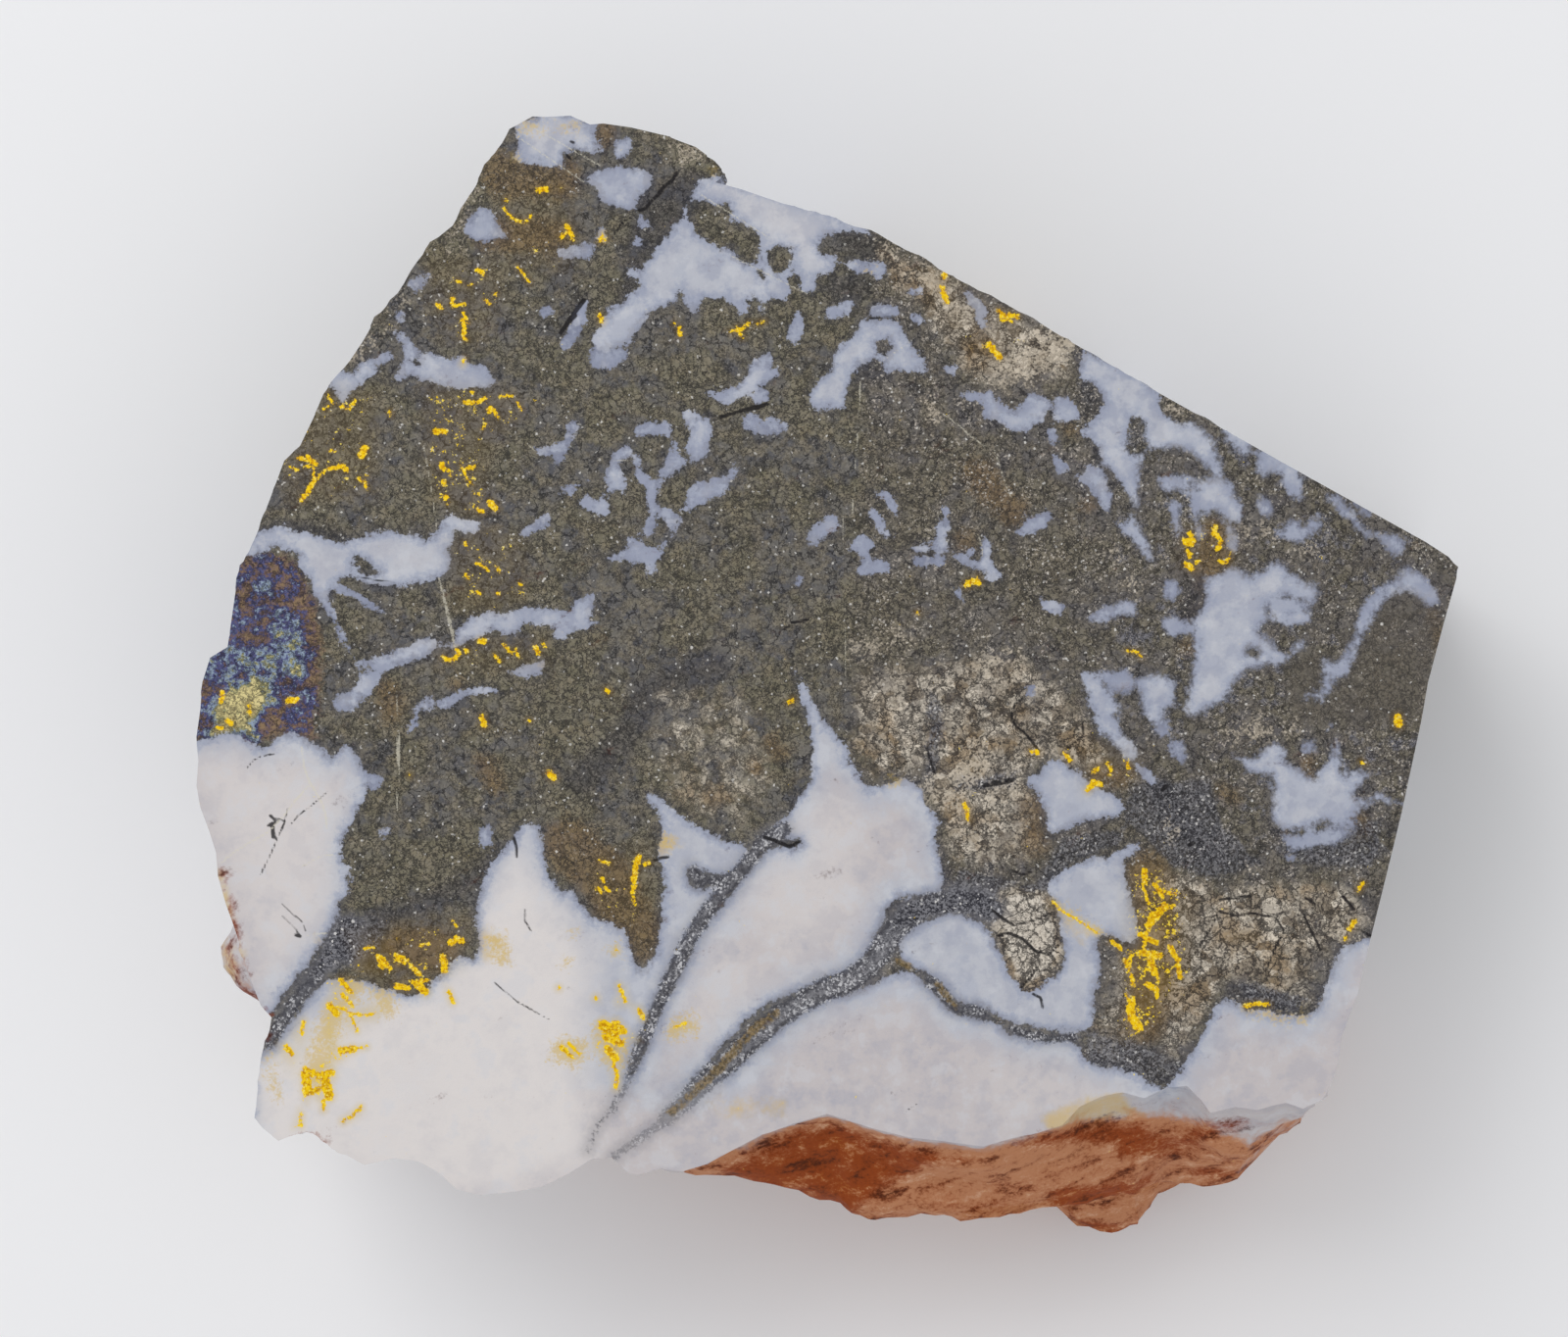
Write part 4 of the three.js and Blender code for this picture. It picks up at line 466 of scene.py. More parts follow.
# Gold, as strokes: width, points. A stroke of one point is a round fleck.
GOLD = [
    (0.3, [(-14.7, 24.8), (-14.35, 24.85)]), (0.15, [(-13.6, 24.9)]),
    (0.12, [(-16.5, 23.9), (-16.2, 23.5), (-15.8, 23.2), (-15.4, 23.15), (-15.1, 23.5)]),
    (0.2, [(-16.4, 24.3)]), (0.25, [(-13.3, 23.0), (-13.15, 22.7), (-13.0, 22.5)]),
    (0.2, [(-13.3, 22.6), (-13.6, 22.4)]), (0.2, [(-13.0, 22.3)]),
    (0.15, [(-11.5, 22.5), (-11.6, 22.2), (-11.3, 22.3)]),
    (0.12, [(-15.8, 20.9), (-15.4, 20.4), (-15.2, 20.1)]), (0.22, [(-11.6, 18.4), (-11.5, 18.1)]),
    (0.22, [(-7.55, 17.75), (-7.5, 17.4)]), (0.15, [(-7.8, 18.0)]),
    (0.16, [(-4.9, 17.6), (-4.4, 17.7), (-4.0, 18.0)]), (0.16, [(-4.6, 17.8), (-4.4, 17.4), (-4.3, 17.3)]),
    (0.12, [(-3.6, 18.0), (-3.2, 18.1)]), (0.2, [(-16.9, 19.5)]), (0.22, [(-17.85, 20.75), (-17.6, 20.6)]),
    (0.15, [(-17.5, 20.45)]), (0.15, [(-18.9, 20.2), (-18.7, 20.1)]),
    (0.12, [(-18.3, 19.9), (-18.1, 20.0)]), (0.22, [(-19.1, 19.3), (-19.15, 19.0), (-19.05, 18.9)]),
    (0.2, [(-19.9, 19.0), (-19.7, 18.8)]), (0.15, [(-18.8, 18.95), (-18.5, 19.0)]),
    (0.14, [(-18.6, 18.6), (-18.4, 18.2), (-18.3, 18.0)]),
    (0.2, [(-18.6, 18.2), (-18.5, 17.7), (-18.6, 17.3), (-18.4, 17.2)]),
    (0.14, [(-17.5, 19.2), (-17.2, 19.0)]), (0.15, [(-18.5, 16.2), (-18.6, 15.95)]),
    (0.25, [(6.05, 20.6), (5.95, 20.3)]), (0.28, [(5.85, 19.8), (6.0, 19.4), (6.1, 19.1)]),
    (0.25, [(8.75, 18.65), (9.0, 18.4), (9.3, 18.45), (9.7, 18.3)]), (0.16, [(8.9, 18.2), (9.4, 18.15)]),
    (0.35, [(8.3, 16.9), (8.6, 16.5), (8.8, 16.3)]), (0.2, [(7.95, 16.85)]),
    (0.1, [(-25.5, 14.4), (-25.2, 13.9)]),
    (0.16, [(-24.8, 13.75), (-24.4, 13.65), (-24.2, 13.9), (-24.1, 14.05)]),
    (0.12, [(-25.7, 13.6), (-25.4, 13.8)]), (0.15, [(-22.3, 13.5), (-22.3, 13.35)]),
    (0.22, [(-18.5, 14.0), (-18.2, 13.95), (-17.8, 14.0), (-17.4, 14.2)]), (0.2, [(-18.1, 14.5)]),
    (0.4, [(-17.2, 13.6)]), (0.12, [(-17.6, 12.6), (-17.4, 12.9)]), (0.3, [(-20.0, 12.5), (-19.5, 12.5)]),
    (0.42, [(-23.75, 11.3), (-23.6, 11.6)]), (0.22, [(-27.0, 11.15), (-26.6, 11.1)]),
    (0.26, [(-26.5, 11.2), (-26.25, 10.9), (-26.1, 10.85)]), (0.12, [(-26.7, 10.7), (-26.4, 10.7)]),
    (0.12, [(-27.4, 10.7), (-27.0, 10.5)]),
    (0.24, [(-26.8, 9.0), (-26.5, 9.4), (-26.2, 9.9), (-26.1, 10.1)]),
    (0.12, [(-26.2, 10.2), (-26.2, 10.7)]), (0.12, [(-25.9, 10.2), (-25.6, 10.5)]),
    (0.24, [(-25.4, 10.6), (-25.0, 10.65), (-24.7, 10.75), (-24.5, 10.5)]),
    (0.12, [(-25.4, 11.5), (-25.1, 11.5)]), (0.16, [(-23.9, 10.1), (-23.6, 9.9), (-23.5, 9.6)]),
    (0.15, [(-23.5, 10.2)]), (0.3, [(-19.65, 10.8), (-19.6, 10.6)]),
    (0.12, [(-19.4, 10.6), (-19.15, 10.2)]), (0.3, [(-19.55, 9.9)]), (0.3, [(-19.45, 9.15)]),
    (0.15, [(-19.35, 8.8)]), (0.12, [(-18.7, 10.8), (-18.5, 10.4), (-18.3, 10.0), (-18.1, 9.8)]),
    (0.2, [(-18.4, 10.6), (-18.0, 10.7)]), (0.34, [(-17.2, 8.85), (-16.95, 8.6)]),
    (0.25, [(-17.8, 8.5), (-17.6, 8.4)]), (0.16, [(-18.5, 6.85), (-18.4, 6.7)]),
    (0.14, [(-17.9, 5.8), (-17.5, 5.6), (-17.3, 5.4)]), (0.16, [(-18.4, 5.2), (-18.3, 5.0)]),
    (0.28, [(-17.8, 4.25)]),
    (0.2, [(-19.6, 1.0), (-19.4, 0.85), (-19.1, 0.85), (-18.8, 1.1), (-18.9, 1.4)]), (0.3, [(-18.4, 1.3)]),
    (0.3, [(-17.7, 1.8), (-17.5, 1.8)]), (0.14, [(-16.6, 14.3), (-16.1, 14.3)]),
    (0.16, [(-17.0, 13.6), (-16.8, 13.2)]), (0.14, [(-15.8, 14.0), (-15.6, 13.6)]),
    (0.14, [(-16.9, 5.6), (-16.7, 5.3)]), (0.12, [(-15.7, 4.8), (-15.6, 4.6)]), (0.25, [(-16.8, 4.2)]),
    (0.16, [(-16.5, 1.6), (-16.2, 1.3), (-16.1, 1.2)]), (0.14, [(-15.9, 1.4), (-15.75, 1.0)]),
    (0.16, [(-17.0, 1.1), (-16.7, 0.8)]), (0.26, [(-14.9, 1.5), (-14.75, 1.2)]),
    (0.12, [(-14.5, 1.7), (-14.4, 1.5)]), (0.28, [(7.1, 4.65), (7.4, 4.85), (7.7, 4.8)]),
    (0.15, [(7.65, 5.05)]), (0.2, [(4.6, 3.25)]), (0.14, [(15.3, 1.3), (15.8, 1.25), (16.0, 1.0)]),
    (0.42, [(18.3, 6.85), (18.6, 6.85)]), (0.24, [(18.5, 7.3), (18.7, 6.9)]),
    (0.24, [(18.4, 6.4), (18.5, 6.1)]), (0.3, [(18.3, 5.7), (18.6, 5.5)]),
    (0.14, [(18.8, 5.8), (19.0, 5.9)]), (0.26, [(19.8, 7.6), (19.7, 7.3), (19.95, 7.1)]),
    (0.24, [(20.1, 6.9), (20.0, 6.6), (19.9, 6.5)]), (0.2, [(20.05, 5.85), (20.35, 5.8), (20.55, 6.05)]),
    (0.15, [(20.6, 6.3)]), (0.42, [(29.1, -2.1), (29.15, -2.45)]), (0.14, [(27.25, -4.35), (27.4, -4.45)]),
    (0.34, [(-14.2, -4.95), (-13.95, -5.15)]), (0.2, [(-11.25, -0.7), (-11.15, -0.8)]),
    (0.22, [(-1.95, -1.35), (-1.75, -1.2)]), (0.3, [(-17.6, -2.1), (-17.5, -2.5)]),
    (0.14, [(-21.3, -5.05)]), (0.14, [(-15.2, -2.25)]),
    (0.16, [(-11.6, -9.4), (-11.3, -9.5), (-11.1, -9.55)]), (0.18, [(-11.5, -10.3), (-11.4, -10.5)]),
    (0.2, [(-11.7, -10.8), (-11.55, -11.0)]), (0.2, [(-11.3, -10.8), (-11.15, -10.95)]),
    (0.3, [(-9.6, -9.2), (-9.75, -9.6), (-9.8, -10.0), (-9.9, -10.4)]),
    (0.24, [(-9.8, -10.7), (-9.95, -11.0)]), (0.16, [(-9.9, -11.2), (-9.8, -11.6)]),
    (0.18, [(-9.3, -9.6), (-9.1, -9.5)]), (0.2, [(-10.75, -13.95)]),
    (0.36, [(-19.2, -13.6), (-18.9, -13.4), (-18.65, -13.5)]), (0.12, [(-19.1, -12.5), (-18.9, -12.8)]),
    (0.34, [(-19.6, -14.3), (-19.5, -15.0)]), (0.3, [(-22.9, -14.3), (-22.7, -14.8)]),
    (0.2, [(-22.0, -14.2), (-21.4, -14.5)]), (0.16, [(-21.9, -13.4)]),
    (0.14, [(-20.8, -13.75), (-20.3, -13.6)]), (0.16, [(-23.6, -13.9), (-23.2, -13.8)]),
    (0.3, [(-27.5, -1.25), (-27.1, -1.2)]), (0.3, [(-30.6, -2.3), (-30.4, -2.4)]),
    (0.24, [(-30.85, -0.8), (-30.9, -1.3)]), (0.2, [(-31.1, -2.6), (-30.9, -2.6)]),
    (0.2, [(-29.5, -1.5), (-29.45, -1.9)]), (0.3, [(13.3, -5.8), (13.6, -5.4), (13.9, -5.5)]),
    (0.2, [(13.6, -4.9), (13.8, -4.7)]), (0.16, [(14.3, -4.4), (14.5, -4.7), (14.4, -5.0)]),
    (0.2, [(15.3, -4.4), (15.4, -4.7)]), (0.2, [(12.1, -3.9), (12.4, -4.3)]),
    (0.2, [(7.0, -6.5), (7.1, -6.8), (7.2, -7.3)]), (0.2, [(10.4, -3.8), (10.8, -3.9)]),
    (0.4, [(15.45, -16.9), (15.5, -17.4), (15.75, -17.8)]), (0.2, [(15.5, -15.2), (15.6, -15.8)]),
    (0.16, [(15.3, -16.2), (15.4, -16.6)]), (0.24, [(16.2, -9.9), (16.15, -10.2)]),
    (0.3, [(16.6, -12.1), (16.4, -12.6)]), (0.2, [(16.3, -13.2), (16.1, -14.1)]),
    (0.3, [(15.2, -14.5), (15.4, -14.8)]), (0.24, [(16.6, -14.1), (16.9, -14.3)]),
    (0.2, [(27.1, -10.9), (27.35, -10.6)]), (0.24, [(26.65, -12.9), (26.9, -12.5)]),
    (0.16, [(26.5, -13.3), (26.4, -13.4)]), (0.2, [(21.3, -16.85), (21.9, -16.7), (22.5, -16.75)]),
    (0.14, [(11.5, -11.5), (12.0, -12.0), (12.6, -12.3)]),
    (0.14, [(12.6, -12.3), (13.2, -12.7), (13.8, -13.1)]), (0.2, [(14.5, -13.5), (15.0, -13.9)]),
    (0.3, [(-24.8, -15.5), (-24.3, -16.1)]), (0.4, [(-25.4, -16.8), (-25.0, -17.2)]),
    (0.2, [(-24.8, -16.2), (-24.2, -16.8)]),
    (0.16, [(-24.9, -16.9), (-24.2, -17.2), (-23.6, -17.3), (-23.1, -17.2)]),
    (0.16, [(-24.3, -17.3), (-24.1, -17.8), (-24.0, -18.1)]), (0.4, [(-24.8, -19.1), (-24.2, -19.0)]),
    (0.14, [(-24.1, -19.0), (-23.5, -18.9)]), (0.5, [(-26.6, -20.2), (-26.5, -21.2)]),
    (0.4, [(-26.6, -20.1), (-25.9, -20.4), (-25.3, -20.2)]), (0.5, [(-25.6, -20.6), (-25.4, -21.4)]),
    (0.2, [(-25.7, -21.6), (-25.7, -22.1)]), (0.3, [(-26.4, -21.3), (-25.9, -21.0)]),
    (0.16, [(-26.85, -22.3), (-26.85, -22.9)]), (0.28, [(-27.6, -18.9), (-27.3, -19.3)]),
    (0.2, [(-26.7, -17.6), (-26.8, -18.2)]), (0.22, [(-24.7, -22.7), (-24.2, -22.4), (-23.8, -22.0)]),
    (0.3, [(-22.0, -15.8), (-21.4, -15.9)]), (0.26, [(-21.2, -14.8), (-20.8, -15.2)]),
    (0.4, [(-20.9, -15.7), (-20.5, -16.1)]), (0.2, [(-21.2, -15.6), (-20.4, -15.5)]),
    (0.22, [(-19.3, -16.1), (-19.1, -16.6)]), (0.24, [(-22.7, -14.4), (-22.3, -14.9)]),
    (0.2, [(-22.0, -14.4), (-21.6, -14.6)]), (0.6, [(-11.4, -17.8), (-10.9, -18.2)]),
    (0.4, [(-11.3, -18.4), (-10.5, -18.7)]), (0.4, [(-10.8, -17.7), (-10.4, -18.1)]),
    (0.4, [(-11.2, -19.0), (-10.8, -19.5)]), (0.2, [(-10.9, -19.7), (-10.7, -20.4), (-10.8, -21.0)]),
    (0.2, [(-10.6, -15.8), (-10.3, -16.6)]), (0.24, [(-9.6, -17.0), (-9.4, -17.4)]),
    (0.24, [(-13.6, -18.9), (-13.0, -19.4)]), (0.16, [(-13.2, -18.7), (-12.6, -19.3)]),
    (0.16, [(-7.8, -17.9), (-7.2, -17.7)]), (0.24, [(-11.8, -16.4)]), (0.2, [(-13.7, -15.9)]),
    (0.3, [(16.2, -9.9), (16.2, -10.5)]), (0.26, [(16.7, -10.6), (17.1, -11.2)]),
    (0.18, [(17.1, -11.0), (17.8, -11.1)]), (0.4, [(17.2, -11.7), (16.8, -12.2), (16.4, -12.7)]),
    (0.16, [(17.2, -11.9), (17.7, -11.7)]), (0.3, [(16.0, -13.2), (16.8, -13.6)]),
    (0.3, [(17.5, -13.8), (17.9, -14.5)]), (0.3, [(17.9, -14.8), (18.0, -15.3)]),
    (0.16, [(15.5, -14.2), (15.4, -15.0)]), (0.3, [(16.0, -14.1), (17.0, -14.2)]),
    (0.4, [(16.5, -14.5), (16.7, -15.1)]), (0.3, [(16.3, -15.7), (16.8, -16.0)]),
    (0.22, [(15.6, -16.4), (15.6, -17.3)]), (0.46, [(15.6, -17.4), (15.9, -17.9)]),
    (0.16, [(16.4, -12.9), (16.2, -13.4)]), (0.14, [(16.9, -15.2), (16.8, -16.4)]),
    (0.16, [(16.1, -10.6), (16.4, -11.6)]),
]

# Areas where the gold is a fine lace, with how dense it is.
LACE = [
    (0.8, [
        (-25.3, -15.5), (-24.5, -15.2), (-24.0, -15.5), (-24.2, -16.2), (-24.9, -16.5), (-25.3, -17.0),
        (-25.2, -18.0), (-24.9, -18.9), (-24.3, -18.8), (-24.1, -19.2), (-24.6, -19.5), (-25.1, -19.8),
        (-25.0, -20.5), (-25.3, -21.2), (-25.7, -21.9), (-26.1, -21.6), (-26.3, -21.0), (-26.5, -21.9),
        (-26.8, -21.6), (-26.7, -20.6), (-26.6, -20.1), (-26.0, -20.0), (-25.4, -19.4), (-25.5, -18.4),
        (-25.7, -17.4), (-25.8, -16.8), (-25.4, -16.2)]),
    (0.6, [
        (-24.8, -16.8), (-23.9, -17.0), (-22.9, -16.6), (-22.2, -16.5), (-23.0, -17.6), (-24.0, -17.5),
        (-24.0, -18.3), (-24.4, -17.9)]),
    (0.55, [(-28.1, -18.7), (-27.4, -18.7), (-27.0, -19.3), (-27.3, -19.8), (-27.8, -19.4)]),
    (0.5, [(-27.0, -17.4), (-26.6, -17.3), (-26.5, -18.3), (-26.9, -18.8), (-27.4, -18.4)]),
    (0.6, [
        (-22.2, -15.6), (-21.4, -15.3), (-21.0, -15.6), (-20.4, -15.2), (-20.4, -15.9), (-20.8, -16.3),
        (-21.3, -15.9), (-22.0, -16.1)]),
    (0.5, [
        (-24.0, -14.0), (-23.2, -13.5), (-22.4, -13.5), (-21.8, -14.2), (-21.2, -14.6), (-21.8, -15.0),
        (-22.8, -15.2), (-23.6, -15.1), (-24.2, -15.0)]),
    (0.5, [(-19.9, -14.0), (-19.3, -14.0), (-19.2, -15.2), (-19.7, -15.4)]),
    (0.4, [(-19.6, -15.6), (-19.2, -15.8), (-18.9, -16.6), (-19.3, -16.6)]),
    (0.45, [(-24.6, -22.9), (-24.2, -22.4), (-23.7, -21.9), (-23.6, -22.3), (-24.2, -22.8)]),
    (0.7, [(-27.0, -22.0), (-26.8, -22.0), (-26.7, -23.0), (-27.3, -23.1)]),
    (0.75, [
        (-12.0, -18.6), (-11.5, -17.5), (-11.2, -17.5), (-11.0, -18.2), (-10.4, -18.3), (-9.9, -18.2),
        (-9.5, -18.6), (-10.2, -18.7), (-10.6, -19.2), (-10.6, -20.0), (-10.6, -21.0), (-10.9, -21.1),
        (-11.1, -20.2), (-11.2, -19.7), (-11.6, -19.3), (-12.0, -19.0)]),
    (0.5, [
        (-13.8, -18.7), (-13.2, -18.9), (-12.4, -19.0), (-12.3, -19.5), (-12.8, -19.7), (-13.4, -19.3),
        (-14.0, -19.2)]),
    (0.65, [
        (-10.9, -16.6), (-10.5, -15.7), (-10.2, -15.8), (-10.0, -16.6), (-9.5, -16.8), (-9.3, -17.3),
        (-9.7, -17.4), (-10.1, -16.9), (-10.7, -16.9)]),
    (0.4, [(-12.0, -16.3), (-11.6, -16.2), (-11.5, -16.7), (-11.9, -16.7)]),
    (0.6, [(-7.9, -17.8), (-7.2, -17.5), (-6.9, -17.8), (-7.2, -18.3), (-7.6, -18.3)]),
    (0.6, [
        (15.8, -12.6), (16.5, -11.8), (17.4, -11.4), (17.9, -12.5), (17.2, -13.8), (17.5, -14.9),
        (17.9, -15.8), (17.0, -16.4), (16.2, -17.6), (15.6, -18.1), (15.1, -17.2), (15.5, -16.0),
        (15.1, -15.0), (15.4, -14.2), (16.0, -13.6)]),
    (0.45, [(15.9, -10.6), (16.1, -9.6), (16.9, -10.2), (17.8, -11.0), (17.6, -11.6), (16.6, -11.4)]),
    (0.35, [(20.2, -13.2), (20.8, -13.0), (22.0, -13.1), (22.0, -13.5), (20.9, -13.6), (20.3, -13.5)]),
]

# Black cracks, as strokes: width, points.
CRACKS = [
    (0.16, [
        (-7.65, 25.7), (-7.9, 25.3), (-8.3, 25.0), (-8.6, 24.6), (-9.0, 24.2), (-9.3, 23.85), (-9.6, 23.75)]),
    (0.1, [(-10.0, 23.4), (-10.4, 23.2), (-10.6, 22.95), (-10.85, 22.55)]),
    (0.06, [(-12.9, 20.3), (-13.3, 19.9), (-13.6, 19.7)]),
    (0.12, [(-12.8, 18.4), (-13.2, 18.0), (-13.6, 17.45)]),
    (0.08, [(2.2, 18.25), (3.0, 18.33), (4.0, 18.3)]), (0.1, [(-5.5, 13.25), (-5.1, 13.3), (-4.9, 13.4)]),
    (0.12, [(-4.4, 13.6), (-3.9, 13.6), (-3.5, 13.7), (-3.0, 13.9)]),
    (0.12, [(-1.8, 2.75), (-1.4, 2.8), (-1.0, 2.9)]), (0.1, [(-2.2, 2.4), (-1.9, 2.6)]),
    (0.07, [(-2.4, 7.8), (-2.0, 8.05)]), (0.06, [(9.1, 2.8), (9.9, 2.9)]),
    (0.06, [(-27.5, -6.7), (-27.7, -7.5), (-28.1, -8.4), (-28.5, -9.3), (-28.9, -10.1)]),
    (0.05, [(-25.5, -5.9), (-26.2, -6.5), (-27.0, -7.1), (-27.4, -7.6)]),
    (0.16, [(-28.0, -7.3), (-28.3, -7.5), (-28.25, -8.2)]),
    (0.14, [(-28.4, -7.1), (-28.1, -7.4), (-28.5, -7.6)]),
    (0.06, [(-29.6, -4.7), (-29.3, -4.3), (-28.9, -4.1), (-28.5, -4.0), (-28.2, -3.95)]),
    (0.16, [(-27.1, -13.2), (-26.9, -13.25)]),
    (0.04, [(-27.8, -11.6), (-27.3, -12.1), (-26.8, -12.5), (-26.6, -13.0)]),
    (0.04, [(-27.8, -12.2), (-27.1, -12.9), (-26.9, -13.2)]),
    (0.12, [(-16.0, -8.2), (-15.85, -8.7), (-15.85, -9.2)]),
    (0.16, [(-3.2, -8.2), (-2.6, -8.4), (-1.9, -8.7), (-1.4, -8.4)]),
    (0.12, [(-9.1, -9.5), (-8.6, -9.3), (-8.1, -9.2)]),
    (0.06, [(-15.4, -11.9), (-15.4, -12.5), (-15.1, -13.0)]),
    (0.05, [(-17.0, -15.6), (-15.8, -16.6), (-14.2, -17.5)]),
    (0.1, [(8.0, -5.5), (8.9, -5.3), (9.6, -5.2)]), (0.14, [(8.0, -5.6), (9.0, -5.45), (9.5, -5.3)]),
    (0.1, [(5.1, -3.7), (5.3, -4.4), (5.5, -5.0)]), (0.12, [(9.4, -9.9), (10.0, -10.1), (10.4, -10.0)]),
    (0.12, [(8.4, -11.9), (8.9, -12.3), (9.5, -12.7)]), (0.1, [(9.5, -12.7), (10.4, -12.5), (11.4, -12.1)]),
    (0.12, [(8.7, -13.2), (9.3, -13.1), (10.0, -13.4), (10.6, -14.0), (11.3, -14.2), (11.8, -13.7)]),
    (0.1, [(9.9, -15.9), (10.3, -15.4), (10.7, -14.8)]),
    (0.1, [(9.4, -2.0), (9.6, -2.5), (10.2, -3.0), (10.8, -3.8)]),
    (0.1, [(12.2, -3.7), (12.6, -3.4), (13.1, -3.0), (13.0, -2.4)]),
    (0.1, [(9.4, -2.0), (9.6, -1.4), (10.0, -1.1)]),
    (0.1, [
        (20.0, -12.0), (20.8, -12.2), (21.8, -12.1), (22.9, -12.3), (23.3, -13.0), (22.8, -14.0),
        (22.4, -15.0)]),
    (0.1, [(20.0, -12.0), (19.6, -12.8), (19.0, -13.8), (18.4, -14.6)]),
    (0.12, [(20.0, -11.4), (20.8, -11.3), (21.6, -11.2)]), (0.14, [(26.3, -11.2), (26.9, -11.9)]),
    (0.1, [(24.3, -12.1), (24.7, -13.0), (25.2, -14.0)]), (0.2, [(18.5, -8.6), (18.7, -8.5)]),
    (0.2, [(17.1, -5.8), (17.3, -5.6)]), (0.12, [(24.4, -11.3), (24.9, -11.6)]),
    (0.12, [(27.3, -13.0), (28.0, -13.4)]), (0.1, [(10.5, -16.2), (10.9, -16.4), (11.0, -16.9)]),
    (0.06, [(4.0, -22.2), (4.3, -22.0), (4.6, -21.8)]), (0.05, [(-24.0, 5.1), (-23.0, 4.9), (-22.0, 4.8)]),
    (0.12, [(-13.1, 27.3), (-12.9, 27.2)]), (0.12, [(-13.3, 26.6), (-13.1, 26.4)]),
    (0.2, [(-12.4, 19.2), (-13.0, 18.4), (-13.6, 17.5)]),
    (0.16, [(-5.5, 13.2), (-4.2, 13.6), (-3.0, 13.9)]),
]

# Light scratches and bright dashes, as strokes: width, points.
SCRATCHES = [
    (0.05, [(-19.8, 5.0), (-19.4, 3.6), (-19.1, 2.4), (-19.0, 1.6)]),
    (0.06, [(2.1, 15.6), (2.7, 16.0), (3.7, 16.7), (4.2, 17.0)]),
    (0.06, [(5.9, 13.4), (6.6, 12.9), (7.4, 12.2), (8.1, 11.7)]),
    (0.05, [(8.5, 11.6), (8.8, 10.8), (9.1, 9.8), (9.4, 9.1)]),
    (0.06, [(6.1, 8.9), (5.8, 8.4), (5.5, 7.9)]), (0.06, [(7.7, 7.3), (7.9, 6.6), (7.9, 6.1)]),
    (0.1, [(5.3, 10.0), (5.6, 10.4)]), (0.06, [(-15.3, 11.9), (-14.9, 11.5)]),
    (0.05, [(-11.0, 10.95), (-9.7, 11.1)]), (0.07, [(1.7, 15.0), (1.6, 13.2)]),
    (0.07, [(1.55, 12.4), (1.45, 10.6)]), (0.07, [(1.4, 9.6), (1.25, 8.2)]),
    (0.06, [(-22.0, -3.0), (-21.9, -4.6)]), (0.06, [(-22.0, -5.8), (-21.9, -7.0)]),
    (0.09, [(-19.8, 5.0), (-19.3, 2.8), (-18.9, 1.1)]), (0.06, [(-15.0, 28.0), (-11.5, 26.0)]),
    (0.06, [(-5.0, 21.5), (-1.0, 19.5)]), (0.02, [(0.8, 8.2), (0.9, 3.0), (1.0, -2.6)]),
    (0.06, [(-6.5, 24.6), (-3.0, 22.4)]), (0.06, [(-15.6, 27.4), (-12.4, 25.2)]),
    (0.05, [(-20.6, 11.8), (-20.2, 9.6), (-19.9, 7.4)]),
    (0.05, [(-22.0, -0.6), (-21.8, -3.6), (-21.9, -6.4)]),
    (0.1, [
        (-26.8, -3.6), (-26.7, -4.6), (-26.4, -5.4), (-26.1, -5.9), (-25.8, -6.4), (-25.6, -7.0),
        (-25.5, -7.8)]),
    (0.1, [
        (-26.4, -5.5), (-27.2, -6.4), (-27.7, -7.1), (-28.6, -8.0), (-29.5, -8.5), (-30.3, -9.0),
        (-30.9, -9.5)]),
    (0.08, [(-26.6, -13.2), (-25.5, -13.1)]), (0.08, [(-26.8, -9.7), (-25.9, -9.2), (-25.2, -9.1)]),
]

# Dark grey veins through the white quartz, as strokes: width, points.
VEINS = [
    (0.7, [
        (-2.2, -7.8), (-3.3, -8.5), (-4.3, -9.8), (-5.3, -11.0), (-6.2, -12.1), (-6.9, -13.2),
        (-7.5, -14.4), (-8.1, -15.6)]),
    (0.55, [(-8.1, -15.6), (-8.8, -17.2), (-9.4, -18.6), (-9.9, -19.9), (-10.4, -21.2), (-11.0, -22.1)]),
    (0.3, [(-11.0, -22.1), (-11.7, -23.0), (-12.2, -24.2)]),
    (1.1, [
        (3.2, -13.2), (2.4, -14.6), (1.2, -15.5), (-0.1, -16.0), (-1.2, -16.6), (-2.4, -17.3),
        (-3.6, -18.3), (-4.8, -19.4), (-5.9, -20.4), (-7.0, -21.5), (-8.2, -22.6)]),
    (0.7, [(-8.2, -22.6), (-9.2, -23.3), (-10.2, -24.0), (-11.0, -24.6)]),
    (0.6, [(-24.6, -12.6), (-25.3, -14.0), (-26.0, -15.2), (-27.0, -16.4), (-27.8, -17.5), (-28.4, -18.6)]),
    (1.0, [(-24.3, -12.8), (-24.9, -13.8), (-24.2, -14.0)]),
    (0.5, [(5.2, -15.5), (5.9, -16.2), (6.6, -17.0), (7.4, -17.0), (8.0, -17.3)]),
    (0.35, [(9.4, -18.0), (10.4, -18.3), (11.2, -18.5), (12.6, -18.4)]),
    (0.5, [(-6.9, -9.9), (-6.6, -10.4), (-5.6, -10.4), (-4.8, -10.3)]),
    (1.1, [(3.2, -13.2), (4.0, -12.4), (5.0, -11.7), (6.2, -11.5), (7.6, -11.5), (8.4, -11.9)]),
]

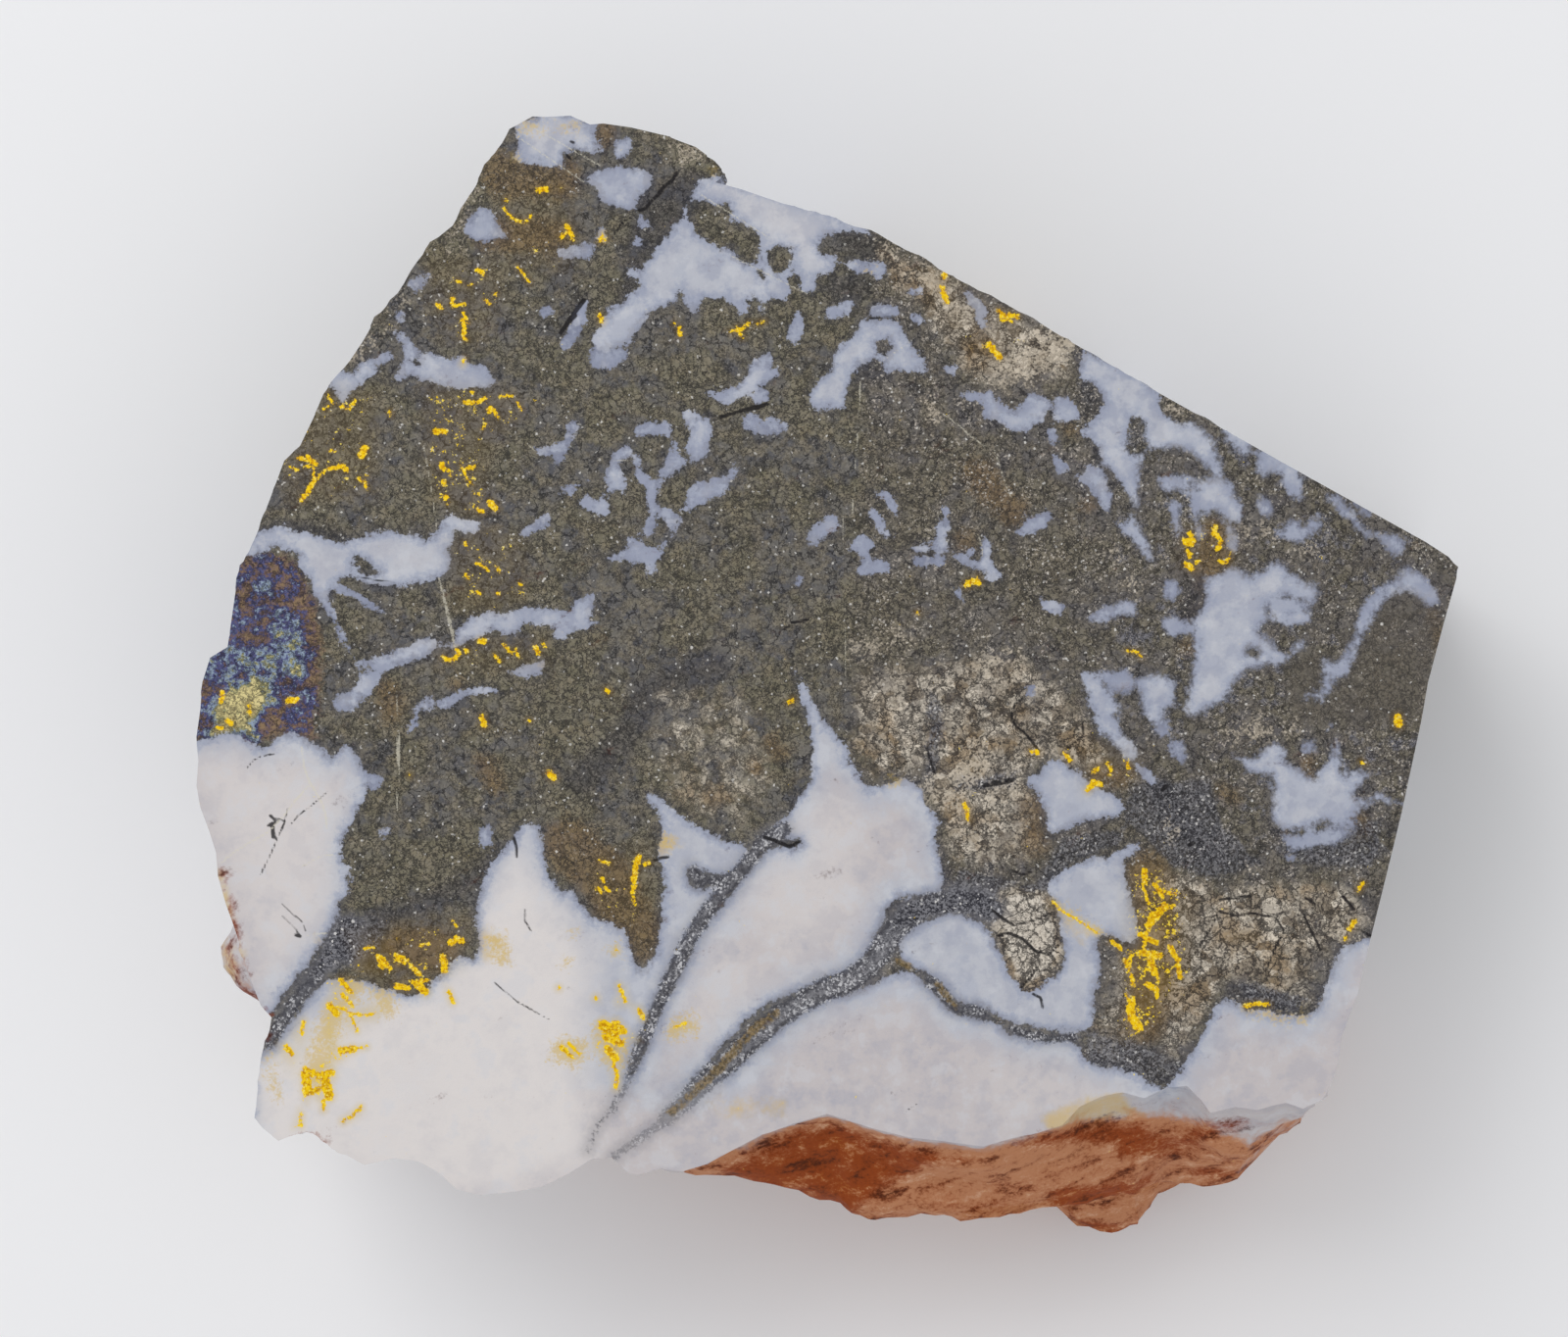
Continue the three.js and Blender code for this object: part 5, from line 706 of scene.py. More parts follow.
# Areas of pale, strongly cracked sulphide, with how pale.
PALE_SULPHIDE = [
    (0.8, [
        (2.4, 22.0), (5.0, 21.0), (8.0, 19.3), (12.5, 17.0), (12.5, 15.2), (8.0, 14.9), (6.8, 16.0),
        (5.4, 17.5), (4.6, 19.0), (3.2, 20.0)]),
    (0.7, [
        (1.6, 0.4), (5.0, 0.6), (8.0, 1.4), (10.0, 1.0), (12.5, -0.8), (13.4, -2.5), (14.5, -3.6),
        (14.5, -5.2), (13.0, -4.7), (11.2, -4.2), (10.4, -5.0), (10.9, -6.6), (11.1, -8.6), (9.9, -9.8),
        (7.4, -9.9), (6.2, -9.0), (5.9, -7.4), (5.0, -6.0), (4.8, -5.0), (2.4, -5.4), (1.4, -3.6),
        (1.2, -1.2)]),
    (1.5, [
        (8.6, -11.2), (9.6, -10.8), (11.1, -11.0), (11.8, -12.5), (12.0, -14.0), (11.6, -15.2),
        (10.2, -16.0), (9.4, -15.2), (8.9, -14.0), (8.6, -12.6)]),
    (0.6, [
        (14.6, -14.0), (16.0, -14.0), (16.4, -18.4), (14.8, -19.8), (13.3, -19.5), (13.2, -18.2),
        (13.9, -16.2)]),
    (0.75, [
        (15.6, -9.6), (17.4, -9.8), (20.0, -10.8), (23.6, -10.2), (26.8, -10.6), (28.0, -12.2),
        (27.4, -13.2), (25.8, -14.0), (25.0, -15.2), (24.4, -17.0), (22.8, -16.4), (20.4, -15.6),
        (19.6, -16.8), (18.4, -19.0), (17.2, -20.0), (16.6, -18.0), (16.2, -14.0), (15.4, -11.6)]),
    (0.5, [
        (-9.0, -0.5), (-4.6, -0.2), (-3.0, -3.0), (-2.6, -5.8), (-4.6, -8.2), (-7.0, -7.0), (-8.4, -5.6),
        (-9.2, -3.0)]),
]

# The olive brown core of the larger vein, as strokes: width, points.
OLIVE_CORES = [
    (0.4, [(-2.6, -17.2), (-3.6, -17.9), (-4.8, -19.2), (-5.9, -20.4), (-7.0, -21.4), (-8.0, -22.3)]),
    (0.24, [(3.6, -14.5), (4.2, -14.8)]), (0.24, [(5.6, -15.7), (6.1, -16.3), (6.6, -16.9)]),
]

# Areas of rust, mostly on the broken lower side, with how strong.
RUST = [
    (0.9, [
        (-31.0, -9.6), (-30.4, -10.2), (-30.1, -12.6), (-29.7, -14.4), (-29.4, -16.2), (-28.8, -17.4),
        (-28.6, -18.6), (-29.4, -17.4), (-30.0, -15.6), (-30.4, -13.4), (-30.9, -11.0)]),
    (1.0, [
        (-6.0, -25.1), (-4.4, -24.3), (-2.0, -23.2), (0.0, -22.6), (2.0, -23.3), (4.6, -24.1), (8.4, -24.6),
        (5.0, -25.2), (3.4, -26.0), (1.4, -27.0), (-4.0, -26.0)]),
    (0.9, [
        (8.8, -23.8), (10.5, -23.5), (12.6, -23.0), (14.4, -22.6), (16.0, -22.6), (16.6, -22.9),
        (15.4, -24.0), (13.0, -23.9), (10.0, -24.2)]),
    (0.9, [
        (14.0, -23.0), (15.4, -22.8), (17.4, -22.9), (19.6, -22.6), (21.4, -22.6), (20.8, -23.2),
        (18.0, -23.8), (16.6, -24.6), (14.4, -24.6)]),
    (1.0, [(11.0, -26.4), (18.0, -26.0), (16.4, -29.4), (12.0, -29.4)]),
    (0.9, [(19.0, -25.2), (22.4, -24.8), (21.6, -26.4), (19.4, -26.4)]),
    (0.8, [(-30.2, -16.6), (-29.2, -16.4), (-28.2, -17.2), (-28.6, -18.4), (-29.6, -17.6)]),
    (1.0, [(-27.4, -23.3), (-26.2, -23.1), (-25.4, -24.0), (-26.4, -24.5), (-27.6, -24.0)]),
]

# Areas of yellow stain in the quartz, with how strong.
STAIN = [
    (0.8, [
        (10.8, -22.4), (12.8, -21.5), (15.0, -21.0), (15.6, -21.8), (17.0, -22.6), (14.0, -22.8),
        (11.4, -23.4)]),
    (0.6, [(-18.0, -12.6), (-16.2, -12.8), (-16.0, -14.6), (-17.6, -14.8), (-18.2, -13.8)]),
    (0.7, [(-9.0, -7.9), (-7.6, -8.0), (-7.2, -8.9), (-8.6, -9.2)]),
    (0.6, [(-26.2, -13.0), (-25.4, -13.2), (-25.9, -14.4), (-26.6, -14.6)]),
    (0.7, [(-31.4, -9.6), (-30.7, -9.8), (-29.9, -13.0), (-29.2, -16.8), (-30.4, -16.4), (-31.0, -12.0)]),
    (0.6, [(11.4, -11.0), (12.4, -12.2), (14.0, -13.0), (13.0, -14.0), (12.0, -13.0)]),
    (0.5, [(-6.8, -21.4), (-5.0, -21.2), (-2.0, -21.4), (-2.0, -22.6), (-5.6, -22.8)]),
    (0.5, [(-15.0, 0.0), (-14.0, 0.0), (-14.0, 1.0), (-15.0, 1.0)]),
]

# Soft tints of the stone, as strokes: width, points.
TINTS = {
    "dark": [
        (1.4, [(1.0, 22.3), (2.2, 21.8)]), (1.3, [(0.5, 19.8), (1.7, 19.9)]),
        (0.8, [(1.7, 15.5), (2.7, 15.4)]), (0.9, [(13.4, 14.8), (13.3, 13.7)]),
        (1.3, [(18.6, 2.9), (18.9, 4.6)]), (0.7, [(5.3, -0.8), (5.5, -2.6)]),
        (0.6, [(7.2, -5.5), (9.3, -5.3)]), (0.5, [(1.2, -10.8), (1.9, -10.9), (2.2, -11.4)]),
        (0.5, [(-3.2, -8.1), (-1.6, -8.4)]), (1.2, [(-6.6, -10.0), (-5.4, -10.2)]),
        (0.6, [(28.5, -7.4), (28.6, -8.0)]), (0.7, [(27.5, -11.4), (27.7, -11.9)]),
        (1.2, [(21.0, -15.9), (23.6, -16.8)]), (0.5, [(-12.4, 19.4), (-12.9, 18.5)]),
        (0.9, [(-9.5, 24.0), (-9.1, 24.4)]), (1.6, [(-5.8, 0.6), (-8.6, -0.6), (-9.4, -1.2)]),
        (1.4, [(-12.6, -5.3), (-10.4, -3.2), (-9.4, -1.5)]), (2.0, [(-9.2, 22.4), (-7.0, 24.8)]),
        (1.2, [(-24.4, -13.2), (-26.6, -15.6)]), (1.0, [(3.2, -10.8), (3.3, -13.4), (4.6, -13.2)]),
        (1.2, [(17.0, -5.8), (18.2, -7.6), (19.6, -9.0)]), (0.8, [(5.2, -9.2), (6.2, -10.8), (8.2, -12.0)]),
        (0.8, [(-18.6, -10.6), (-20.8, -11.8), (-23.4, -12.4)]), (0.7, [(-17.0, -9.4), (-18.6, -10.6)]),
        (0.7, [(-10.4, 18.2), (-10.2, 20.0), (-9.4, 21.8)]),
        (0.6, [(-28.6, 7.4), (-26.4, 7.6), (-24.4, 6.9)]),
    ],
    "warm": [
        (2.6, [(-13.2, -8.6), (-11.2, -10.4), (-9.8, -13.2)]), (2.0, [(-16.6, 25.6), (-13.6, 25.4)]),
        (1.6, [(-17.4, 22.6), (-13.8, 22.4)]), (0.9, [(-11.4, 27.4), (-11.3, 28.0)]),
        (2.0, [(16.4, -9.9), (17.0, -13.0), (16.2, -17.6)]), (0.8, [(-6.0, -6.2), (-5.4, -6.1)]),
        (0.5, [(-3.7, -4.7)]), (0.7, [(-2.9, -3.4), (-2.4, -3.9)]), (0.6, [(7.4, 16.7), (8.0, 16.7)]),
        (0.3, [(19.5, 4.2), (19.2, 3.6), (18.6, 2.7), (17.8, 2.5)]), (0.6, [(18.3, 1.5), (18.8, 1.6)]),
        (0.4, [(30.9, 3.2), (31.3, 1.6)]), (1.0, [(10.4, -6.4), (10.6, -8.6)]),
        (0.6, [(20.2, -5.8), (20.7, -6.2)]), (0.7, [(24.5, -4.4), (24.7, -5.1)]),
        (0.9, [(13.8, -4.9), (15.0, -5.1)]), (0.9, [(26.9, -7.2), (27.3, -7.8)]),
        (0.9, [(20.6, -13.3), (21.8, -13.3)]), (0.5, [(10.0, -2.0)]), (0.9, [(7.0, 6.9)]),
        (0.5, [(12.4, 12.6)]), (0.6, [(13.3, 8.7)]), (1.4, [(-26.9, -23.7), (-25.8, -23.8)]),
        (1.2, [(-22.4, -0.8), (-22.2, -1.8)]), (0.5, [(-18.8, -0.4)]),
        (2.0, [(-21.6, -13.8), (-19.8, -14.0)]), (1.6, [(19.6, 5.0), (19.8, 7.2)]),
        (0.8, [(-17.4, -4.4), (-16.9, -5.6)]), (1.4, [(7.6, 10.4), (9.4, 8.4)]),
    ],
    "beige": [
        (0.7, [(2.8, 21.4), (2.9, 22.0)]), (0.9, [(5.2, 20.6), (5.7, 19.6)]), (0.6, [(6.5, 18.6)]),
        (1.0, [(8.9, 15.5), (10.1, 15.6)]), (1.6, [(10.6, 16.0), (12.2, 17.4)]),
        (0.9, [(8.4, 0.6), (9.4, 0.7)]), (0.9, [(2.0, 1.5), (3.4, 1.8)]), (0.5, [(14.5, 6.5)]),
        (0.4, [(15.4, 4.8)]), (0.9, [(-7.2, 26.6)]), (0.5, [(17.4, 6.2)]), (0.5, [(21.3, 7.4)]),
        (0.4, [(22.3, 7.5)]), (0.4, [(18.5, 9.5)]), (0.4, [(17.7, 13.7)]), (0.25, [(24.7, 6.7)]),
        (0.9, [(6.4, -6.5)]), (0.4, [(8.6, -6.0), (9.5, -5.9)]), (0.5, [(11.5, -4.0)]),
        (0.6, [(12.2, -4.2)]), (0.5, [(8.8, -12.6)]), (0.5, [(5.3, -8.2)]),
        (0.7, [(20.2, -2.8), (21.8, -2.7), (23.6, -2.8)]), (0.35, [(21.3, -10.05)]),
        (0.25, [(25.9, -13.2)]), (0.25, [(26.7, -13.75)]), (0.25, [(17.5, -8.0)]), (0.4, [(-7.9, -22.2)]),
        (0.4, [(-8.2, -22.8)]), (0.3, [(-18.9, 22.1), (-18.3, 24.2)]),
        (0.3, [(-22.5, 18.6), (-22.0, 19.1)]), (0.3, [(-24.0, 16.0), (-22.6, 17.8)]),
        (0.3, [(5.6, 13.0), (5.3, 14.0)]), (0.24, [(7.3, 13.7), (7.6, 13.7)]),
        (0.9, [(5.2, -6.2), (7.8, -4.4)]),
    ],
    "yellow": [
        (0.5, [(-15.4, 28.1), (-14.8, 28.0)]), (0.4, [(-13.4, 28.0), (-12.8, 27.9)]),
        (0.5, [(-16.0, 26.4)]), (0.3, [(2.05, 20.75)]),
        (0.2, [(11.6, -11.6), (12.9, -12.4), (14.1, -13.1)]), (0.3, [(-13.0, -13.1)]),
        (0.3, [(-13.2, -14.6)]), (0.4, [(-10.75, -13.95)]), (0.9, [(-22.8, -16.2), (-22.3, -17.0)]),
        (0.7, [(24.2, -17.4)]), (0.35, [(-28.7, -19.5), (-28.0, -21.5)]), (0.6, [(3.4, -5.3)]),
        (0.3, [(21.6, -17.2), (23.4, -17.6)]), (0.9, [(-7.8, -18.0), (-7.0, -17.8)]),
        (1.3, [(-13.4, -19.2), (-12.8, -19.2)]), (1.4, [(-11.2, -18.2), (-10.8, -19.4)]),
        (1.2, [(-26.2, -20.4), (-25.2, -17.4), (-24.2, -16.0)]), (0.9, [(-16.8, -13.6), (-16.6, -14.2)]),
        (0.4, [(-5.9, 25.8)]), (0.5, [(-11.4, 22.4)]), (0.5, [(-8.2, -8.4)]),
    ],
}

# Areas with a look of their own: strength, points.
AREAS = {
    "lace": LACE,
    "pale": PALE_SULPHIDE,
    "rust": RUST,
    "stain": STAIN,
    "smooth": [
        (1.0, [
            (23.6, -2.5), (23.5, 0.6), (24.6, 1.4), (26.0, 1.0), (28.0, 4.2), (29.5, 4.4), (31.0, 5.2),
            (31.8, 6.2), (31.4, 3.0), (30.2, -2.5)]),
    ],
    "soft": [
        (1.0, [
            (15.0, 12.0), (22.0, 16.0), (36.0, 8.0), (34.0, -9.4), (22.0, -9.4), (17.0, -3.6), (13.0, -3.0),
            (14.0, 4.0)]),
    ],
    "fade": [
        (1.0, [
            (-8.8, -19.8), (-10.6, -20.2), (-13.0, -26.0), (-6.6, -26.0), (-5.4, -21.0), (-7.4, -21.4),
            (-9.0, -22.0)]),
    ],
    "dust": [
        (0.8, [
            (-20.6, 15.0), (-17.0, 14.8), (-15.6, 14.4), (-15.4, 13.2), (-16.6, 12.4), (-17.4, 10.8),
            (-16.8, 8.4), (-18.4, 8.0), (-20.2, 9.0), (-20.6, 12.2)]),
        (0.7, [(-19.4, 7.0), (-17.0, 7.8), (-15.4, 7.0), (-15.2, 4.0), (-17.0, 3.2), (-19.0, 3.4)]),
        (0.6, [(-20.4, 21.6), (-16.6, 21.2), (-16.4, 19.0), (-17.6, 16.8), (-19.4, 17.0), (-20.6, 19.2)]),
        (0.7, [(-28.0, 11.6), (-25.6, 14.8), (-23.0, 14.6), (-23.0, 9.2), (-27.6, 8.8)]),
        (0.5, [(-17.0, 24.6), (-13.6, 25.2), (-12.4, 23.0), (-13.0, 20.4), (-16.4, 20.8)]),
        (0.6, [(-20.2, 1.6), (-14.2, 2.2), (-14.0, 0.4), (-16.0, 0.2), (-20.0, 0.4)]),
        (0.7, [
            (-24.6, -13.0), (-20.0, -12.2), (-18.0, -12.2), (-18.6, -15.0), (-22.0, -15.8), (-26.6, -18.0),
            (-28.4, -19.4), (-25.8, -22.0), (-24.4, -18.6), (-22.6, -17.2), (-23.6, -15.6)]),
        (0.6, [(-12.0, -9.0), (-9.0, -8.4), (-8.8, -13.0), (-10.0, -13.4), (-12.0, -11.6)]),
        (0.7, [(17.8, 7.8), (20.9, 8.0), (21.0, 5.4), (17.8, 5.2)]),
        (0.7, [(12.8, -3.4), (16.0, -3.8), (16.0, -5.4), (13.0, -6.0)]),
        (0.9, [
            (15.2, -9.6), (17.0, -9.4), (18.6, -11.2), (18.6, -15.6), (16.8, -18.4), (15.0, -18.6),
            (15.0, -14.0)]),
        (0.5, [(4.6, 21.0), (10.4, 18.2), (9.6, 15.6), (7.4, 16.0), (5.0, 19.0)]),
    ],
    "granular": [
        (0.9, [
            (15.4, -5.4), (19.6, -5.2), (20.2, -7.6), (22.4, -9.6), (20.0, -10.4), (17.6, -9.8),
            (16.4, -8.4), (15.6, -7.6), (12.0, -8.2), (10.6, -10.6), (6.8, -9.8), (5.8, -11.2),
            (3.4, -11.4), (3.2, -13.4), (4.6, -12.4), (8.4, -12.4), (8.8, -10.8), (11.4, -11.0),
            (12.4, -9.6), (15.0, -8.6)]),
        (0.7, [(4.9, -0.4), (5.9, -1.0), (6.2, -2.6), (5.6, -5.0), (5.2, -6.4), (4.8, -5.2), (5.0, -3.0)]),
        (0.8, [(6.4, -5.0), (9.8, -4.8), (9.6, -5.8), (6.4, -5.8)]),
        (0.8, [
            (13.0, -17.8), (14.6, -18.4), (16.4, -18.8), (18.4, -19.8), (17.4, -21.0), (15.6, -20.4),
            (13.2, -19.8)]),
        (0.7, [(22.4, -8.6), (28.6, -7.0), (28.0, -9.8), (24.0, -9.8)]),
        (0.8, [(20.8, -15.4), (22.8, -15.8), (24.6, -16.4), (24.0, -17.3), (21.4, -16.9)]),
        (0.8, [(-25.0, -12.0), (-22.4, -12.4), (-22.8, -14.0), (-25.2, -15.2), (-26.6, -15.4)]),
        (0.7, [(-25.4, -17.2), (-26.6, -17.4), (-28.2, -19.2), (-26.4, -20.0), (-25.6, -18.8)]),
        (0.5, [(12.6, 15.2), (13.8, 15.0), (13.6, 13.4), (12.8, 13.4)]),
    ],
    "film": [
        (0.47, [
            (-31.2, 6.6), (-28.6, 6.4), (-27.2, 5.6), (-26.2, 4.2), (-25.8, 1.6), (-26.0, -1.4),
            (-26.2, -3.2), (-33.0, -3.4), (-33.0, 1.0), (-31.0, 2.0)]),
        (0.6, [
            (-28.2, 3.8), (-27.0, 4.2), (-26.3, 2.6), (-26.2, -0.6), (-27.6, -1.4), (-28.8, -0.4),
            (-30.4, 0.4), (-32.4, 0.2), (-31.6, 1.2), (-29.4, 1.8)]),
        (0.66, [(-28.4, 6.1), (-27.2, 5.7), (-26.7, 4.6), (-27.4, 4.0), (-28.0, 5.0)]),
        (0.74, [(-28.0, 1.8), (-27.2, 1.9), (-27.0, 0.6), (-27.8, 0.4)]),
        (0.92, [
            (-31.6, -0.8), (-30.2, -0.2), (-29.2, 0.3), (-28.2, -0.3), (-27.8, -1.4), (-28.6, -2.1),
            (-29.2, -3.2), (-31.6, -3.2)]),
        (0.6, [(-32.4, -1.0), (-31.2, -1.0), (-31.0, -3.0), (-32.4, -3.1)]),
    ],
    "bright": [
        (1.0, [
            (-29.6, -19.6), (-24.0, -16.4), (-17.4, -11.0), (-16.0, -9.0), (-14.4, -10.6), (-12.0, -14.0),
            (-12.4, -20.0), (-11.6, -24.6), (-17.0, -27.0), (-29.6, -25.0)]),
        (0.6, [(-32.4, -4.0), (-26.0, -4.6), (-24.4, -6.0), (-25.2, -12.0), (-28.4, -16.0), (-31.0, -9.0)]),
        (0.5, [(-1.0, -6.4), (1.6, -6.4), (1.6, -12.0), (-2.0, -14.6), (-4.6, -11.6), (-2.4, -8.0)]),
        (0.4, [(-5.6, -13.0), (-2.0, -15.6), (-6.4, -19.0), (-8.0, -17.0)]),
        (0.4, [
            (-7.2, 26.0), (-5.4, 24.2), (-3.4, 22.6), (-1.4, 21.4), (0.6, 20.4), (1.0, 22.8), (-3.0, 25.4)]),
        (0.4, [(-16.2, 28.9), (-12.6, 29.0), (-12.2, 27.6), (-14.0, 27.2), (-15.6, 26.6)]),
        (0.3, [(8.0, -20.0), (14.0, -20.4), (16.0, -21.6), (9.0, -22.6)]),
    ],
    "pink": [
        (1.0, [
            (-10.0, -25.6), (-4.4, -24.0), (0.0, -22.2), (4.6, -23.6), (8.6, -24.0), (13.0, -22.6),
            (17.0, -22.3), (19.4, -22.8), (21.4, -23.8), (23.0, -27.0), (10.0, -31.0), (-10.0, -30.0)]),
        (0.35, [
            (-33.0, -8.6), (-31.0, -9.2), (-30.2, -12.8), (-29.2, -17.0), (-28.6, -18.4), (-33.0, -19.0)]),
    ],
}

# How far the edge of each kind of area is blurred.
AREA_SOFTNESS_MM = {
    "lace": 0.3, "pale": 0.8, "rust": 0.7, "stain": 0.5, "dust": 0.6, "granular": 0.5, "film": 0.9,
    "smooth": 0.5, "bright": 1.8, "pink": 0.7, "soft": 2.0, "fade": 1.2,
}


def blend_in(value, start, end):
    """0 up to start, 1 from end, and a smooth rise between."""
    t = np.clip((value - start) / (end - start), 0.0, 1.0)
    return t * t * (3.0 - 2.0 * t)


# Fields over the stone, worked out from the outlines and strokes.


def near_box(points, outline, reach):
    """Indices of the points inside the outline's box, widened by reach."""
    low = np.min(outline, axis=0) - reach
    high = np.max(outline, axis=0) + reach
    return np.nonzero(np.all((points > low) & (points < high), axis=1))[0]


def distance_to_stroke(points, stroke):
    """Distance of each point to a run of straight lines, or to a single point."""
    stroke = np.array(stroke, float)
    if len(stroke) == 1:
        return np.linalg.norm(points - stroke[0], axis=1)
    best = np.full(len(points), np.inf)
    for start, end in zip(stroke[:-1], stroke[1:]):
        along = end - start
        share = np.clip((points - start) @ along / (along @ along), 0.0, 1.0)
        away = points - start - share[:, None] * along
        best = np.minimum(best, np.linalg.norm(away, axis=1))
    return best


def is_inside(points, outline):
    """True for the points inside the closed outline."""
    inside = np.zeros(len(points), bool)
    corners = np.array(outline, float)
    for start, end in zip(corners, np.roll(corners, -1, axis=0)):
        spans = (start[1] > points[:, 1]) != (end[1] > points[:, 1])
        if not spans.any():
            continue
        rise = end[1] - start[1]
        crossing = start[0] + (points[:, 1] - start[1]) * (end[0] - start[0]) / rise
        inside ^= spans & (points[:, 0] < crossing)
    return inside


def depth_inside(points, outline):
    """Distance to the closed outline, positive inside and negative outside."""
    distance = distance_to_stroke(points, list(outline) + [outline[0]])
    return np.where(is_inside(points, outline), distance, -distance)


def patch_fields(points, patches, islands):
    """How deep each point lies in the nearest patch, and how white that patch is."""
    depth = np.full(len(points), -FIELD_REACH_MM)
    white = np.zeros(len(points))
    for _, whiteness, outline in patches:
        near = near_box(points, outline, FIELD_REACH_MM)
        inside = depth_inside(points[near], outline)
        deeper = inside > depth[near]
        depth[near[deeper]] = inside[deeper]
        white[near[deeper]] = whiteness
    for outline in islands:
        near = near_box(points, outline, FIELD_REACH_MM)
        depth[near] = np.minimum(depth[near], -depth_inside(points[near], outline))
    return depth, white


def stroke_field(points, strokes):
    """How deep each point lies in the nearest stroke, negative outside."""
    depth = np.full(len(points), -FIELD_REACH_MM)
    for width, stroke in strokes:
        near = near_box(points, stroke, FIELD_REACH_MM)
        depth[near] = np.maximum(depth[near], width / 2 - distance_to_stroke(points[near], stroke))
    return depth


def area_field(points, areas, softness):
    """The strongest of the areas at each point, fading out over the softness."""
    level = np.zeros(len(points))
    for strength, outline in areas:
        near = near_box(points, outline, softness)
        inside = depth_inside(points[near], outline)
        level[near] = np.maximum(level[near], strength * blend_in(inside, -softness, softness))
    return level


# The mesh.


def is_face_up(face):
    return face.normal.z > 0.99 and face.calc_center_median().z > 0.85 * FACE_HEIGHT_MM * MM


def is_back(face):
    return face.normal.z < -0.99 and face.calc_center_median().z < MM


def merge_flat_faces(bm, belongs):
    """Joins the flat triangles of one side into whole flat faces."""
    edges = [e for e in bm.edges if len(e.link_faces) == 2 and all(belongs(f) for f in e.link_faces)]
    verts = [v for v in bm.verts if all(belongs(f) for f in v.link_faces)]
    bmesh.ops.dissolve_limit(bm, angle_limit=math.radians(0.1), verts=verts, edges=edges)


def cut_into_cells(bm, belongs, cell_mm):
    """Cuts the faces of one side along a square grid."""
    faces = [f for f in bm.faces if belongs(f)]
    geometry = set(faces)
    for face in faces:
        geometry.update(face.edges)
        geometry.update(face.verts)
    geometry = list(geometry)
    corners = [v.co for f in faces for v in f.verts]
    for axis in (0, 1):
        low = min(c[axis] for c in corners)
        high = max(c[axis] for c in corners)
        normal = Vector((0, 0, 0))
        normal[axis] = 1.0
        steps = int((high - low) / (cell_mm * MM))
        for step in range(1, steps + 1):
            place = normal * (low + step * cell_mm * MM)
            cut = bmesh.ops.bisect_plane(bm, geom=geometry, dist=1e-6, plane_co=place, plane_no=normal)
            geometry = cut["geom"]


def refine_near(bm, strokes, areas):
    """Halves the cells of the face round thin strokes and fine areas."""
    faces = [f for f in bm.faces if is_face_up(f)]
    centres = np.array([f.calc_center_bounds().xy for f in faces]) / MM
    fine = stroke_field(centres, strokes) > -FINE_REACH_MM
    fine |= area_field(centres, areas, FINE_REACH_MM) > 0
    edges = {e for f, wanted in zip(faces, fine) if wanted for e in f.edges}
    bmesh.ops.subdivide_edges(bm, edges=list(edges), cuts=1, use_grid_fill=True)


def distance_to_sawn_side(x, y):
    """Distance in mm of a place to the nearer sawn side."""
    point = np.array([[x, y]])
    return min(distance_to_stroke(point, line)[0] for line in SAWN_LINES)


def roughen_sides(bm):
    """Pushes the broken sides in and out with a grain finer than the part's ledges."""
    bm.normal_update()
    moves = []
    for vert in bm.verts:
        if any(is_face_up(f) or is_back(f) for f in vert.link_faces):
            continue
        place = vert.co / MM
        if distance_to_sawn_side(place.x, place.y) < SAWN_REACH_MM:
            continue
        grain = noise.fractal(place / GRAIN_LENGTH_MM, 0.8, 2.1, 4)
        crag = noise.voronoi(place / (2.2 * GRAIN_LENGTH_MM))[0][0] - 0.45
        push_mm = GRAIN_MM * grain + 0.5 * GRAIN_MM * crag
        moves.append((vert, vert.normal * MM * push_mm))
    for vert, move in moves:
        vert.co += move


def as_seen(places):
    """X and Y at the face's level of what the camera sees at these places."""
    middle = np.array(VIEW_MIDDLE_MM)
    reach = (CAMERA_HEIGHT_MM - FACE_HEIGHT_MM) / (CAMERA_HEIGHT_MM - places[:, 2])
    return middle + (places[:, :2] - middle) * reach[:, None]


def build_stone():
    """A finer copy of the part's solid, with rough broken sides."""
    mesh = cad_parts["ore_slab"].data.copy()
    mesh.name = "ore_stone"
    mesh.materials.clear()
    stone = bpy.data.objects.new("ore_stone", mesh)
    bpy.context.scene.collection.objects.link(stone)
    bm = bmesh.new()
    bm.from_mesh(mesh)
    bmesh.ops.remove_doubles(bm, verts=bm.verts, dist=2e-6)
    bmesh.ops.recalc_face_normals(bm, faces=bm.faces)
    merge_flat_faces(bm, is_face_up)
    merge_flat_faces(bm, is_back)
    side_edges = [e for e in bm.edges if not all(is_face_up(f) or is_back(f) for f in e.link_faces)]
    bmesh.ops.subdivide_edges(bm, edges=side_edges, cuts=SIDE_CUTS, use_grid_fill=True)
    roughen_sides(bm)
    cut_into_cells(bm, is_face_up, FACE_CELL_MM)
    cut_into_cells(bm, is_back, BACK_CELL_MM)
    refine_near(bm, GOLD + CRACKS + SCRATCHES, LACE)
    bm.normal_update()
    for face in bm.faces:
        face.smooth = not (is_face_up(face) or is_back(face))
    for edge in bm.edges:
        if len(edge.link_faces) == 2:
            edge.smooth = edge.calc_face_angle() < math.radians(SHARP_FROM_DEGREES)
    bm.to_mesh(mesh)
    bm.free()
    return stone


def store(mesh, name, values):
    """Keeps one value for every point of the mesh, for the material to read."""
    layer = mesh.attributes.new(name, "FLOAT", "POINT")
    layer.data.foreach_set("value", np.asarray(values, np.float32))


